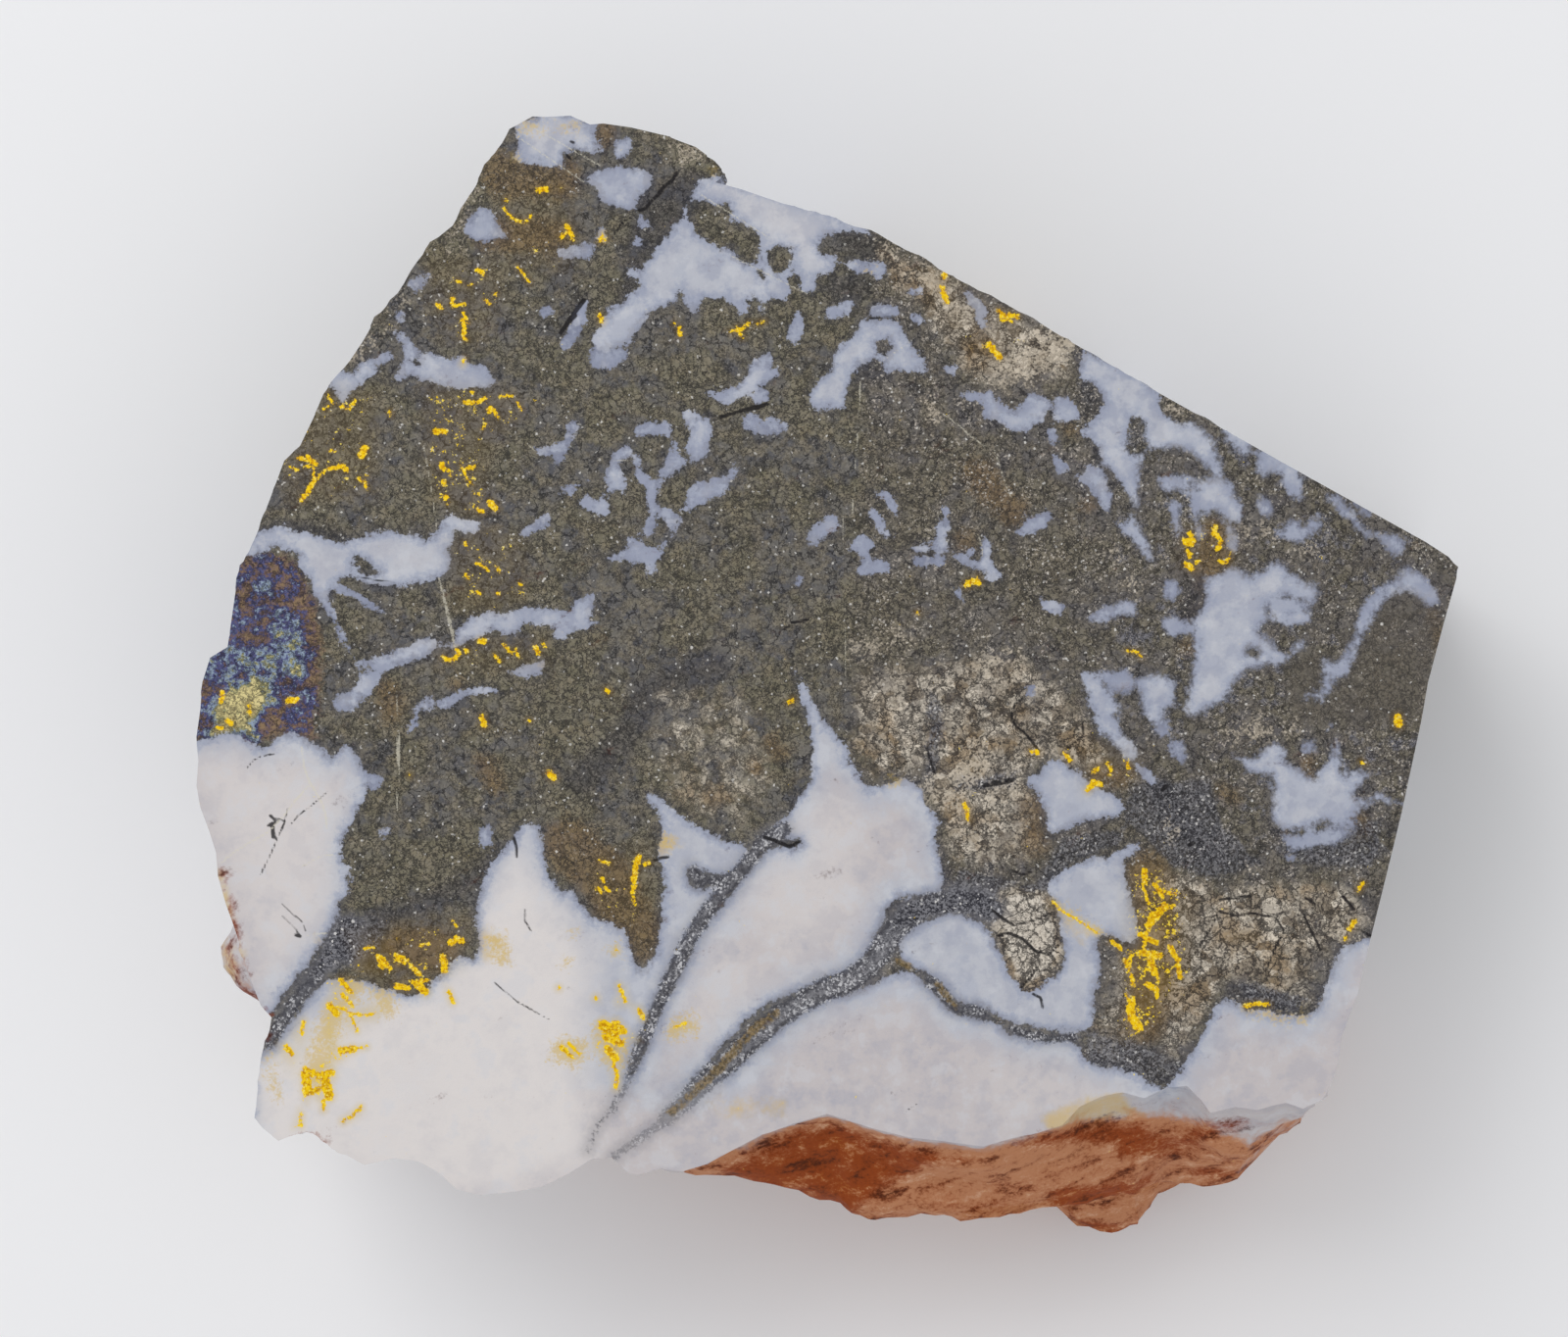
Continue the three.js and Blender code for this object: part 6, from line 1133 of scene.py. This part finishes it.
def mark_stone(stone):
    """Stores on every point of the stone what it is made of there."""
    mesh = stone.data
    places = np.zeros(len(mesh.vertices) * 3, np.float32)
    mesh.vertices.foreach_get("co", places)
    places = places.reshape(-1, 3).astype(float) / MM
    seen = as_seen(places)
    depth_below = FACE_HEIGHT_MM - places[:, 2]
    drift = blend_in(depth_below, 3.0, 12.0)
    seen[:, 0] += drift * 1.5 * np.sin(places[:, 1] * 0.35 + places[:, 2] * 0.5)
    seen[:, 1] += drift * 1.5 * np.sin(places[:, 0] * 0.3 + places[:, 2] * 0.6)
    patches = PATCHES_UPPER + PATCHES_RIGHT + PATCHES_LOWER
    quartz, white = patch_fields(seen, patches, ISLANDS)
    store(mesh, "quartz", quartz)
    store(mesh, "white", white)
    lines = {"gold": GOLD, "crack": CRACKS, "scratch": SCRATCHES, "vein": VEINS, "olive": OLIVE_CORES}
    for name, strokes in (lines | TINTS).items():
        store(mesh, name, stroke_field(seen, strokes))
    store(mesh, "side", blend_in(depth_below, 0.9, 1.6))
    normals = np.zeros(len(mesh.vertices) * 3, np.float32)
    mesh.vertices.foreach_get("normal", normals)
    # The undercut part of the broken lower side, which is pink and rusty all over; the pink there is partly
    # painted warm reflected light on the sides that face -Y.
    undercut = blend_in(-normals[1::3], -0.1, 0.3) * blend_in(depth_below, 2.0, 6.0)
    undercut *= 0.4 + 0.6 * blend_in(places[:, 0], -20.0, 2.0)
    sawn = stroke_field(places[:, :2], [(0.0, line) for line in SAWN_LINES])
    undercut *= 1.0 - blend_in(sawn, -1.2, -0.6)
    for name, areas in AREAS.items():
        level = area_field(seen, areas, AREA_SOFTNESS_MM[name])
        level = np.maximum(level, undercut * UNDERCUT_LEVELS.get(name, 0.0))
        store(mesh, name, level)
    # The right part of the face, which has more light and dark specks.
    right_of_line = seen[:, 0] - (1.1 + 0.05 * seen[:, 1])
    store(mesh, "right_facet", blend_in(right_of_line, -0.3, 0.5))


# The material.


def tone(red, green, blue):
    """A colour given in screen values from 0 to 255."""
    parts = [c / 255 for c in (red, green, blue)]
    return tuple(c / 12.92 if c <= 0.04045 else ((c + 0.055) / 1.055) ** 2.4 for c in parts) + (1.0,)


class Value:
    """A node's output, with arithmetic."""

    def __init__(self, shader, socket):
        self.shader = shader
        self.socket = socket

    def __add__(self, other):
        return self.shader.math("ADD", self, other)

    __radd__ = __add__

    def __sub__(self, other):
        return self.shader.math("SUBTRACT", self, other)

    def __rsub__(self, other):
        return self.shader.math("SUBTRACT", other, self)

    def __mul__(self, other):
        return self.shader.math("MULTIPLY", self, other)

    __rmul__ = __mul__


class Shader:
    """Makes the nodes of one material."""

    def __init__(self, name):
        self.material = bpy.data.materials.new(name)
        self.material.use_nodes = True
        self.tree = self.material.node_tree
        self.surface = self.tree.nodes["Principled BSDF"]

    def node(self, kind, settings, inputs, output=0):
        """A node with its settings made first, then its inputs; gives one of its outputs."""
        node = self.tree.nodes.new(kind)
        for key, setting in settings.items():
            setattr(node, key, setting)
        for key, value in inputs.items():
            self.feed(node.inputs[key], value)
        return Value(self, node.outputs[output])

    def feed(self, socket, value):
        if isinstance(value, Value):
            self.tree.links.new(value.socket, socket)
        else:
            socket.default_value = value

    def math(self, operation, first, second):
        return self.node("ShaderNodeMath", {"operation": operation}, {0: first, 1: second})

    def larger(self, a, b):
        return self.math("MAXIMUM", a, b)

    def smaller(self, a, b):
        return self.math("MINIMUM", a, b)

    def rise(self, value, start, end):
        """0 up to start, 1 from end, and a smooth rise between."""
        settings = {"interpolation_type": "SMOOTHSTEP"}
        inputs = {"Value": value, "From Min": start, "From Max": end}
        return self.node("ShaderNodeMapRange", settings, inputs)

    def field(self, name):
        """What mark_stone stored on the stone under this name."""
        return self.node("ShaderNodeAttribute", {"attribute_name": name}, {}, "Fac")

    def mix(self, factor, a, b):
        """Colour a, or b where the factor is 1."""
        return self.node("ShaderNodeMix", {"data_type": "RGBA"}, {0: factor, 6: a, 7: b}, 2)

    def place(self):
        """The place on the stone in millimetres."""
        here = self.node("ShaderNodeTexCoord", {}, {}, "Object")
        return self.vector("SCALE", {0: here, 3: 1.0 / MM})

    def noise(self, place, size_mm, detail, roughness, output="Fac"):
        """Cloudy noise, about 0.5 on average, with lumps of this size."""
        inputs = {"Vector": place, "Scale": 1.0 / size_mm, "Detail": detail, "Roughness": roughness}
        return self.node("ShaderNodeTexNoise", {}, inputs, output)

    def cells(self, place, size_mm, feature="F1", output="Distance"):
        """A pattern of irregular cells of about this size."""
        inputs = {"Vector": place, "Scale": 1.0 / size_mm}
        return self.node("ShaderNodeTexVoronoi", {"feature": feature}, inputs, output)

    def part(self, colour, index):
        """The colour's red, green or blue alone."""
        return self.node("ShaderNodeSeparateColor", {}, {0: colour}, index)

    def vector(self, operation, inputs):
        return self.node("ShaderNodeVectorMath", {"operation": operation}, inputs)

    def shifted(self, place, noise_colour, amount_mm):
        """The place, moved about by a coloured noise."""
        push = self.vector("SUBTRACT", {0: noise_colour, 1: (0.5, 0.5, 0.5)})
        push = self.vector("SCALE", {0: push, 3: amount_mm})
        return self.vector("ADD", {0: place, 1: push})


# Sizes of the lumps and cells that the stone's pattern is made of.
DOT_MM = 0.07
FLECK_MM = 0.1
FINE_MM = 0.2
HAIR_NET_MM = 0.36
WARP_MM = 0.6
BLOCK_MM = 0.62
MEDIUM_MM = 0.8
CRACK_NET_MM = 0.8
FLOW_MM = 0.9
CLOUD_MM = 1.5
WIDE_NET_MM = 1.9
BROAD_MM = 2.6
# How the pattern of the broken side is turned, in radians, and drawn out.
FLOW_TURN = -0.42
FLOW_STRETCH = (0.3, 1.1, 0.7)
BUMP_HEIGHT_MM = 0.04
BUMP_STRENGTH = 0.5


def ore_material():
    """Every kind of stone is laid over the one before it, where its field says so."""
    s = Shader("gold_ore")
    place = s.place()
    dot = s.noise(place, DOT_MM, 1.0, 0.5)
    fine = s.noise(place, FINE_MM, 3.0, 0.7)
    medium = s.noise(place, MEDIUM_MM, 4.0, 0.65)
    broad = s.noise(place, BROAD_MM, 4.0, 0.6)
    cloud = s.noise(place, CLOUD_MM, 5.0, 0.62)
    warp = s.noise(place, WARP_MM, 4.0, 0.7, "Color")
    warped = s.shifted(place, warp, 0.5)
    bent = s.shifted(place, warp, 0.12)
    ragged = (fine - 0.5) * 0.34 + (medium - 0.5) * 0.85
    right = s.field("right_facet")
    side = s.field("side")
    smooth = s.field("smooth")
    soft = s.field("soft")

    def tinted(colour, name, strength, tint):
        """The colour with a soft tint where the strokes of this name lie."""
        level = s.rise(s.field(name) + (medium - 0.5) * 0.9 + (fine - 0.5) * 0.5, -0.5, 0.35)
        return s.mix(level * strength, colour, tint)

    # The chance values that differ from cell to cell.
    fleck_cell = s.cells(bent, FLECK_MM, "F1", "Color")
    fleck = s.part(fleck_cell, 0)
    second = s.part(fleck_cell, 1)
    block = s.part(s.cells(warped, BLOCK_MM, "F1", "Color"), 0)
    crackle = s.cells(s.shifted(place, warp, 1.2), CRACK_NET_MM, "DISTANCE_TO_EDGE")
    hairs = s.cells(s.shifted(place, warp, 1.4), HAIR_NET_MM, "DISTANCE_TO_EDGE")
    grit = dot * 0.5 + second * 0.5
    net = s.larger(
        s.rise(crackle, 0.075, 0.02) * s.rise(medium, 0.62, 0.44),
        s.rise(hairs, 0.12, 0.03) * s.rise(broad * 0.5 + medium * 0.5, 0.38, 0.56),
    )

    # Grey sulphide: a fine grain with a net of thin cracks.
    ground = s.mix(s.rise(broad, 0.42, 0.56), tone(88, 88, 92), tone(114, 109, 92))
    ground = s.mix(s.rise(medium, 0.44, 0.62) * 0.6, ground, tone(130, 120, 100))
    ground = s.mix((block - 0.5) * 0.5 + 0.2, ground, tone(136, 130, 116))
    ground = s.mix(right * 0.3, ground, tone(112, 104, 98))
    haze = soft * s.rise(broad * 0.4 + medium * 0.6, 0.5, 0.62) * (1.0 - smooth)
    ground = s.mix(haze * 0.6, ground, tone(116, 120, 138))
    ground = tinted(ground, "warm", 0.6, tone(128, 104, 70))
    ground = tinted(ground, "dark", 0.6, tone(68, 68, 76))
    ground = s.mix(s.rise(grit, 0.5, 0.24) * (0.34 + 0.16 * right), ground, tone(48, 47, 50))
    light = s.rise(dot * 0.5 + fleck * 0.5, 0.62, 0.76)
    light = light * (0.22 + 0.95 * right * s.rise(cloud, 0.42, 0.62))
    ground = s.mix(light, ground, tone(180, 172, 162))
    ground = s.mix(smooth * 0.55, ground, tone(90, 85, 80))
    ground = s.mix(net * (0.66 - 0.36 * smooth), ground, tone(32, 31, 33))
    # Painted glints: a few tiny near-white specks stand in for light caught by grains.
    painted_glint = s.rise(fleck, 0.988, 0.994)
    ground = s.mix(painted_glint * 0.8, ground, tone(210, 208, 204))

    # Pale, strongly cracked sulphide.
    pale = s.field("pale")
    pale_ground = s.mix(block * 0.75 + medium * 0.2, tone(116, 102, 84), tone(238, 228, 212))
    pale_ground = s.mix(s.rise(broad, 0.5, 0.62) * 0.45, pale_ground, tone(150, 122, 82))
    pale_ground = tinted(pale_ground, "warm", 0.55, tone(136, 108, 68))
    pale_ground = s.mix(s.rise(pale, 1.0, 1.3) * 0.8, pale_ground, tone(216, 208, 196))
    pale_ground = s.mix(s.rise(grit, 0.5, 0.25) * 0.5, pale_ground, tone(92, 82, 72))
    wide_cells = s.cells(s.shifted(place, warp, 1.6), WIDE_NET_MM, "DISTANCE_TO_EDGE")
    wide = s.rise(wide_cells, 0.045, 0.015)
    thin = s.rise(crackle, 0.085, 0.025) * s.rise(cloud, 0.36, 0.46)
    hair = s.rise(hairs, 0.13, 0.03) * s.rise(medium, 0.36, 0.52) * 0.8
    cracks = s.larger(wide, s.larger(thin, hair))
    pale_ground = s.mix(cracks * 0.88, pale_ground, tone(34, 31, 32))
    pale_level = s.smaller(pale, 1.0) + (medium - 0.5) * 0.9 + (broad - 0.5) * 0.6
    ground = s.mix(s.rise(pale_level, 0.25, 0.85), ground, pale_ground)

    # Loose grains, as in the dark veins and between the blocks.
    grains = s.mix(s.rise(dot * 0.6 + fleck * 0.4, 0.36, 0.68), tone(40, 40, 48), tone(126, 126, 132))
    grains = s.mix(s.rise(second, 0.965, 0.98) * 0.8, grains, tone(224, 222, 220))
    granular = s.rise(s.field("granular") + (medium - 0.5) * 1.2, 0.3, 0.75)
    ground = s.mix(granular * 0.75, ground, grains)
    beige = s.field("beige") + (medium - 0.5) * 1.6 + (block - 0.5) * 0.8 + (fleck - 0.5) * 1.2
    ground = s.mix(s.rise(beige, -0.1, 0.6) * 0.6, ground, tone(200, 188, 170))
    ground = s.mix(net * s.rise(pale, 0.5, 0.0) * 0.5, ground, tone(32, 31, 33))

    # Tarnish runs from brown over purple, blue and light blue to straw yellow.
    zone = s.field("film")
    film = zone + (cloud - 0.5) * 1.3 + (medium - 0.5) * 1.1
    film = film + (block - 0.5) * 0.16 + (fine - 0.5) * 0.45 + 0.03
    tarnish = s.mix(s.rise(film, 0.2, 0.36), tone(140, 116, 88), tone(116, 94, 88))
    tarnish = s.mix(s.rise(film, 0.38, 0.5), tarnish, tone(76, 80, 128))
    tarnish = s.mix(s.rise(film, 0.56, 0.68), tarnish, tone(146, 164, 186))
    tarnish = s.mix(s.rise(film, 0.72, 0.84), tarnish, tone(158, 156, 112))
    tarnish = s.mix(s.rise(film, 0.86, 1.0), tarnish, tone(222, 208, 148))
    tarnish = s.mix(s.larger(net * 0.8, s.rise(grit, 0.46, 0.2) * 0.7), tarnish, tone(26, 25, 34))
    tarnished = s.rise(zone + (fine - 0.5) * 0.3 + (medium - 0.5) * 0.6, 0.12, 0.34)
    ground = s.mix(tarnished * 0.92, ground, tarnish)

    # Quartz, bluish and clear at its thin margins and white inside.
    depth = s.field("quartz") + ragged
    white = s.field("white")
    quartz_mask = s.rise(depth, -0.05 - 0.12 * soft, 0.08 + 0.12 * soft)
    level = s.rise(depth, -0.1, 0.6) * (0.02 + 0.85 * white)
    level = level + (broad - 0.5) * 1.2 + (medium - 0.5) * 0.9
    margin = s.mix(white, tone(116, 122, 146), tone(140, 144, 160))
    quartz = s.mix(s.rise(level, 0.0, 0.45), margin, tone(164, 170, 187))
    quartz = s.mix(s.rise(level, 0.4, 1.0), quartz, tone(190, 192, 200))
    whitest = s.rise(white, 0.94, 1.0) * s.rise(depth + (cloud - 0.5) * 3.0, 0.2, 2.0)
    quartz = s.mix(whitest * 0.9, quartz, tone(195, 188, 189))
    quartz = s.mix(s.field("bright") * s.rise(depth, 0.1, 0.9), quartz, tone(218, 213, 212))
    clear = s.rise(broad * 0.6 + medium * 0.4, 0.5, 0.64)
    clear = clear * (0.85 - 0.5 * white) * (1.0 - s.field("bright") * 0.7)
    quartz = s.mix(clear, quartz, tone(154, 159, 177))
    bluish = s.rise(white, 1.0, 0.75)
    dull = 1.0 - s.field("bright") * 0.85
    quartz = s.mix(s.rise(cloud, 0.48, 0.6) * (0.2 + 0.5 * bluish) * dull, quartz, tone(146, 152, 173))
    quartz = s.mix(s.rise(cloud, 0.46, 0.36) * 0.35, quartz, tone(204, 206, 213))
    milky = s.rise(broad * 0.5 + medium * 0.5, 0.48, 0.36)
    quartz = s.mix(milky * 0.22, quartz, tone(214, 214, 218))
    stain = s.rise(s.field("stain") + (medium - 0.5) * 1.1, 0.3, 0.9)
    quartz = s.mix(stain * 0.65, quartz, tone(206, 176, 104))
    yellow = s.field("yellow") + (medium - 0.5) * 1.5 + (fine - 0.5) * 1.2 + (fleck - 0.5) * 0.4
    yellow = s.rise(yellow, -0.25, 0.45)
    quartz = s.mix(yellow * 0.6, quartz, tone(208, 178, 92))
    ground = s.mix(yellow * 0.4, ground, tone(176, 152, 76))
    shade = s.rise(depth, -0.5, 0.0) * (0.1 + 0.4 * white)
    ground = s.mix(shade * 0.6, ground, tone(66, 68, 80))
    colour = s.mix(quartz_mask, ground, quartz)

    # Dark veins through the quartz, fading at their lower ends.
    fade = s.field("fade")
    vein_depth = s.field("vein") + ragged * 0.5 - fade * 0.18
    vein_tone = s.mix(s.rise(vein_depth, 0.34, 0.05), tone(116, 116, 122), tone(70, 70, 77))
    vein_tone = s.mix(s.rise(grit, 0.5, 0.28) * 0.6, vein_tone, tone(46, 46, 54))
    vein_tone = s.mix(s.rise(grit, 0.54, 0.7) * s.rise(medium, 0.38, 0.6), vein_tone, tone(196, 196, 200))
    vein_tone = s.mix(s.rise(s.field("granular") + (medium - 0.5), 0.2, 0.7), vein_tone, grains)
    colour = s.mix(s.rise(vein_depth, -0.7, 0.05) * 0.35, colour, tone(122, 122, 130))
    vein = s.rise(vein_depth + (fleck - 0.5) * 0.16, -0.12, 0.08) * (0.9 - 0.45 * fade)
    colour = s.mix(vein, colour, vein_tone)
    olive = s.rise(s.field("olive") + ragged * 0.5, -0.12, 0.08)
    olive_tone = s.mix(s.rise(fine, 0.35, 0.65), tone(66, 54, 24), tone(140, 118, 78))
    colour = s.mix(olive * 0.8, colour, olive_tone)

    # Rust and pink on the broken side, drawn out along the breaks. The pink is partly the stone's own stain
    # and partly painted warm reflected light, with painted highlights on the ridges and painted shade in the
    # crevices.
    turning = {"Vector": place, "Angle": FLOW_TURN}
    turned = s.node("ShaderNodeVectorRotate", {"rotation_type": "Z_AXIS"}, turning)
    drawn_out = s.vector("MULTIPLY", {0: turned, 1: FLOW_STRETCH})
    flow = s.noise(s.shifted(drawn_out, warp, 0.5), FLOW_MM, 5.0, 0.62)
    crust = flow * 0.55 + medium * 0.25 + fine * 0.2
    # The pink is partly the broken side's own iron stain and partly painted warm light reflected onto it.
    pink = s.mix(s.rise(crust, 0.36, 0.5), tone(146, 80, 36), tone(186, 124, 82))
    # Pale streaks on it are painted highlights along the ridges.
    pink = s.mix(s.rise(crust, 0.53, 0.66) * 0.7, pink, tone(218, 174, 142))
    pink_level = s.field("pink") + (medium - 0.5) * 1.0 + (cloud - 0.5) * 0.7
    colour = s.mix(side * s.rise(pink_level, 0.15, 0.75) * 0.95, colour, pink)
    rust = s.rise(s.field("rust") + (crust - 0.5) * -3.2 + (cloud - 0.5) * 0.8, 0.3, 0.95)
    rust_tone = s.mix(s.rise(crust, 0.34, 0.5), tone(70, 26, 4), tone(140, 58, 6))
    rust_tone = s.mix(s.rise(crust, 0.52, 0.62) * 0.45, rust_tone, tone(192, 114, 34))
    colour = s.mix(rust * 0.94, colour, rust_tone)
    # Painted shade: dark brown streaks where the flow noise is low stand in for shade in the crevices of the
    # broken side.
    crevice_shade = side * s.rise(s.field("pink") + s.field("rust"), 0.3, 0.9) * s.rise(flow, 0.38, 0.3)
    colour = s.mix(crevice_shade * 0.6, colour, tone(76, 34, 12))

    # Thin cracks and scratches.
    crack = s.rise(s.field("crack") + ragged * 0.1, -0.05, 0.02)
    colour = s.mix(crack * 0.92, colour, tone(26, 24, 27))
    scratch = s.rise(s.field("scratch") + (dot - 0.5) * 0.12, -0.03, 0.02)
    colour = s.mix(scratch * 0.55, colour, tone(212, 207, 190))

    # Gold: flecks, lace and dust.
    lace = s.field("lace")
    lace_mask = lace * 0.5 + (medium - 0.5) * 1.4 + (fine - 0.5) * 1.3 + (fleck - 0.5) * 0.2
    lace_mask = s.rise(lace_mask, 0.56, 0.64)
    dust = s.field("dust") * 0.5 + fleck * 0.4 + (medium - 0.5) * 1.2 + (fine - 0.5) * 0.6
    dust = s.rise(dust, 0.85, 0.9)
    stroke = s.field("gold") + (fine - 0.5) * 0.4 + (fleck - 0.5) * 0.03
    gold_mask = s.larger(s.larger(s.rise(stroke, -0.03, 0.03), lace_mask), dust * 0.8)
    gold_and_glint_tone = s.mix(s.rise(fine, 0.36, 0.6), tone(194, 134, 6), tone(248, 208, 22))
    # Pale yellow spots on the gold are painted glints.
    gold_and_glint_tone = s.mix(s.rise(fleck * 0.5 + dot * 0.5, 0.64, 0.76) * 0.7, gold_and_glint_tone, tone(255, 240, 120))
    glow = s.larger(s.rise(s.field("gold"), -0.35, 0.05) * 0.35, lace * 0.45 + s.field("dust") * 0.2)
    colour = s.mix(glow, colour, s.mix(quartz_mask, tone(122, 96, 38), tone(206, 182, 112)))
    colour = s.mix(gold_mask, colour, gold_and_glint_tone)

    surface = s.surface.inputs
    s.feed(surface["Base Color"], colour)
    s.feed(surface["Roughness"], 0.55 - 0.1 * quartz_mask - 0.15 * gold_mask + side * 0.25)
    s.feed(surface["Metallic"], gold_mask * 0.3)
    surface["Specular IOR Level"].default_value = 0.12
    height = fine * 0.5 + dot * 0.3
    bump = {"Height": height, "Distance": BUMP_HEIGHT_MM * MM, "Strength": BUMP_STRENGTH}
    s.feed(surface["Normal"], s.node("ShaderNodeBump", {}, bump))
    return s.material


# The camera, the light and the floor.


WORLD_STRENGTH = 0.74
SOFTBOX_PLACE = (-0.25, 0.3, 0.5)
SOFTBOX_SIZE = 0.35
SOFTBOX_POWER = 1.2
SOFTBOX_COLOUR = (1.0, 0.99, 0.97)
FLOOR_HALF_WIDTH = 1.0
FLOOR_COLOUR = (240, 241, 244)
FLOOR_ROUGHNESS = 0.9


def add_camera():
    data = bpy.data.cameras.new("camera")
    data.lens = LENS_MM
    data.sensor_width = SENSOR_MM
    camera = bpy.data.objects.new("camera", data)
    camera.location = (VIEW_MIDDLE_MM[0] * MM, VIEW_MIDDLE_MM[1] * MM, CAMERA_HEIGHT_MM * MM)
    data.clip_start = 0.01
    data.clip_end = 10.0
    bpy.context.scene.collection.objects.link(camera)
    bpy.context.scene.camera = camera


def add_area_light(name, place, size, power, colour):
    data = bpy.data.lights.new(name, "AREA")
    data.size = size
    data.energy = power
    data.color = colour
    light = bpy.data.objects.new(name, data)
    light.location = place
    light.rotation_euler = (-Vector(place)).to_track_quat("-Z", "Y").to_euler()
    bpy.context.scene.collection.objects.link(light)


def add_light():
    world = bpy.data.worlds.new("studio")
    world.use_nodes = True
    background = world.node_tree.nodes["Background"]
    background.inputs["Color"].default_value = (1.0, 1.0, 1.0, 1.0)
    background.inputs["Strength"].default_value = WORLD_STRENGTH
    bpy.context.scene.world = world
    add_area_light("softbox", SOFTBOX_PLACE, SOFTBOX_SIZE, SOFTBOX_POWER, SOFTBOX_COLOUR)
    bpy.context.scene.view_settings.view_transform = "Standard"


def add_floor():
    bm = bmesh.new()
    bmesh.ops.create_grid(bm, x_segments=1, y_segments=1, size=FLOOR_HALF_WIDTH)
    mesh = bpy.data.meshes.new("floor")
    bm.to_mesh(mesh)
    bm.free()
    floor = bpy.data.objects.new("floor", mesh)
    bpy.context.scene.collection.objects.link(floor)
    s = Shader("floor")
    s.feed(s.surface.inputs["Base Color"], tone(*FLOOR_COLOUR))
    s.feed(s.surface.inputs["Roughness"], FLOOR_ROUGHNESS)
    mesh.materials.append(s.material)


add_camera()
add_light()
add_floor()
stone = build_stone()
mark_stone(stone)
stone.data.materials.append(ore_material())
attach(stone, "root")
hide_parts("ore_slab")
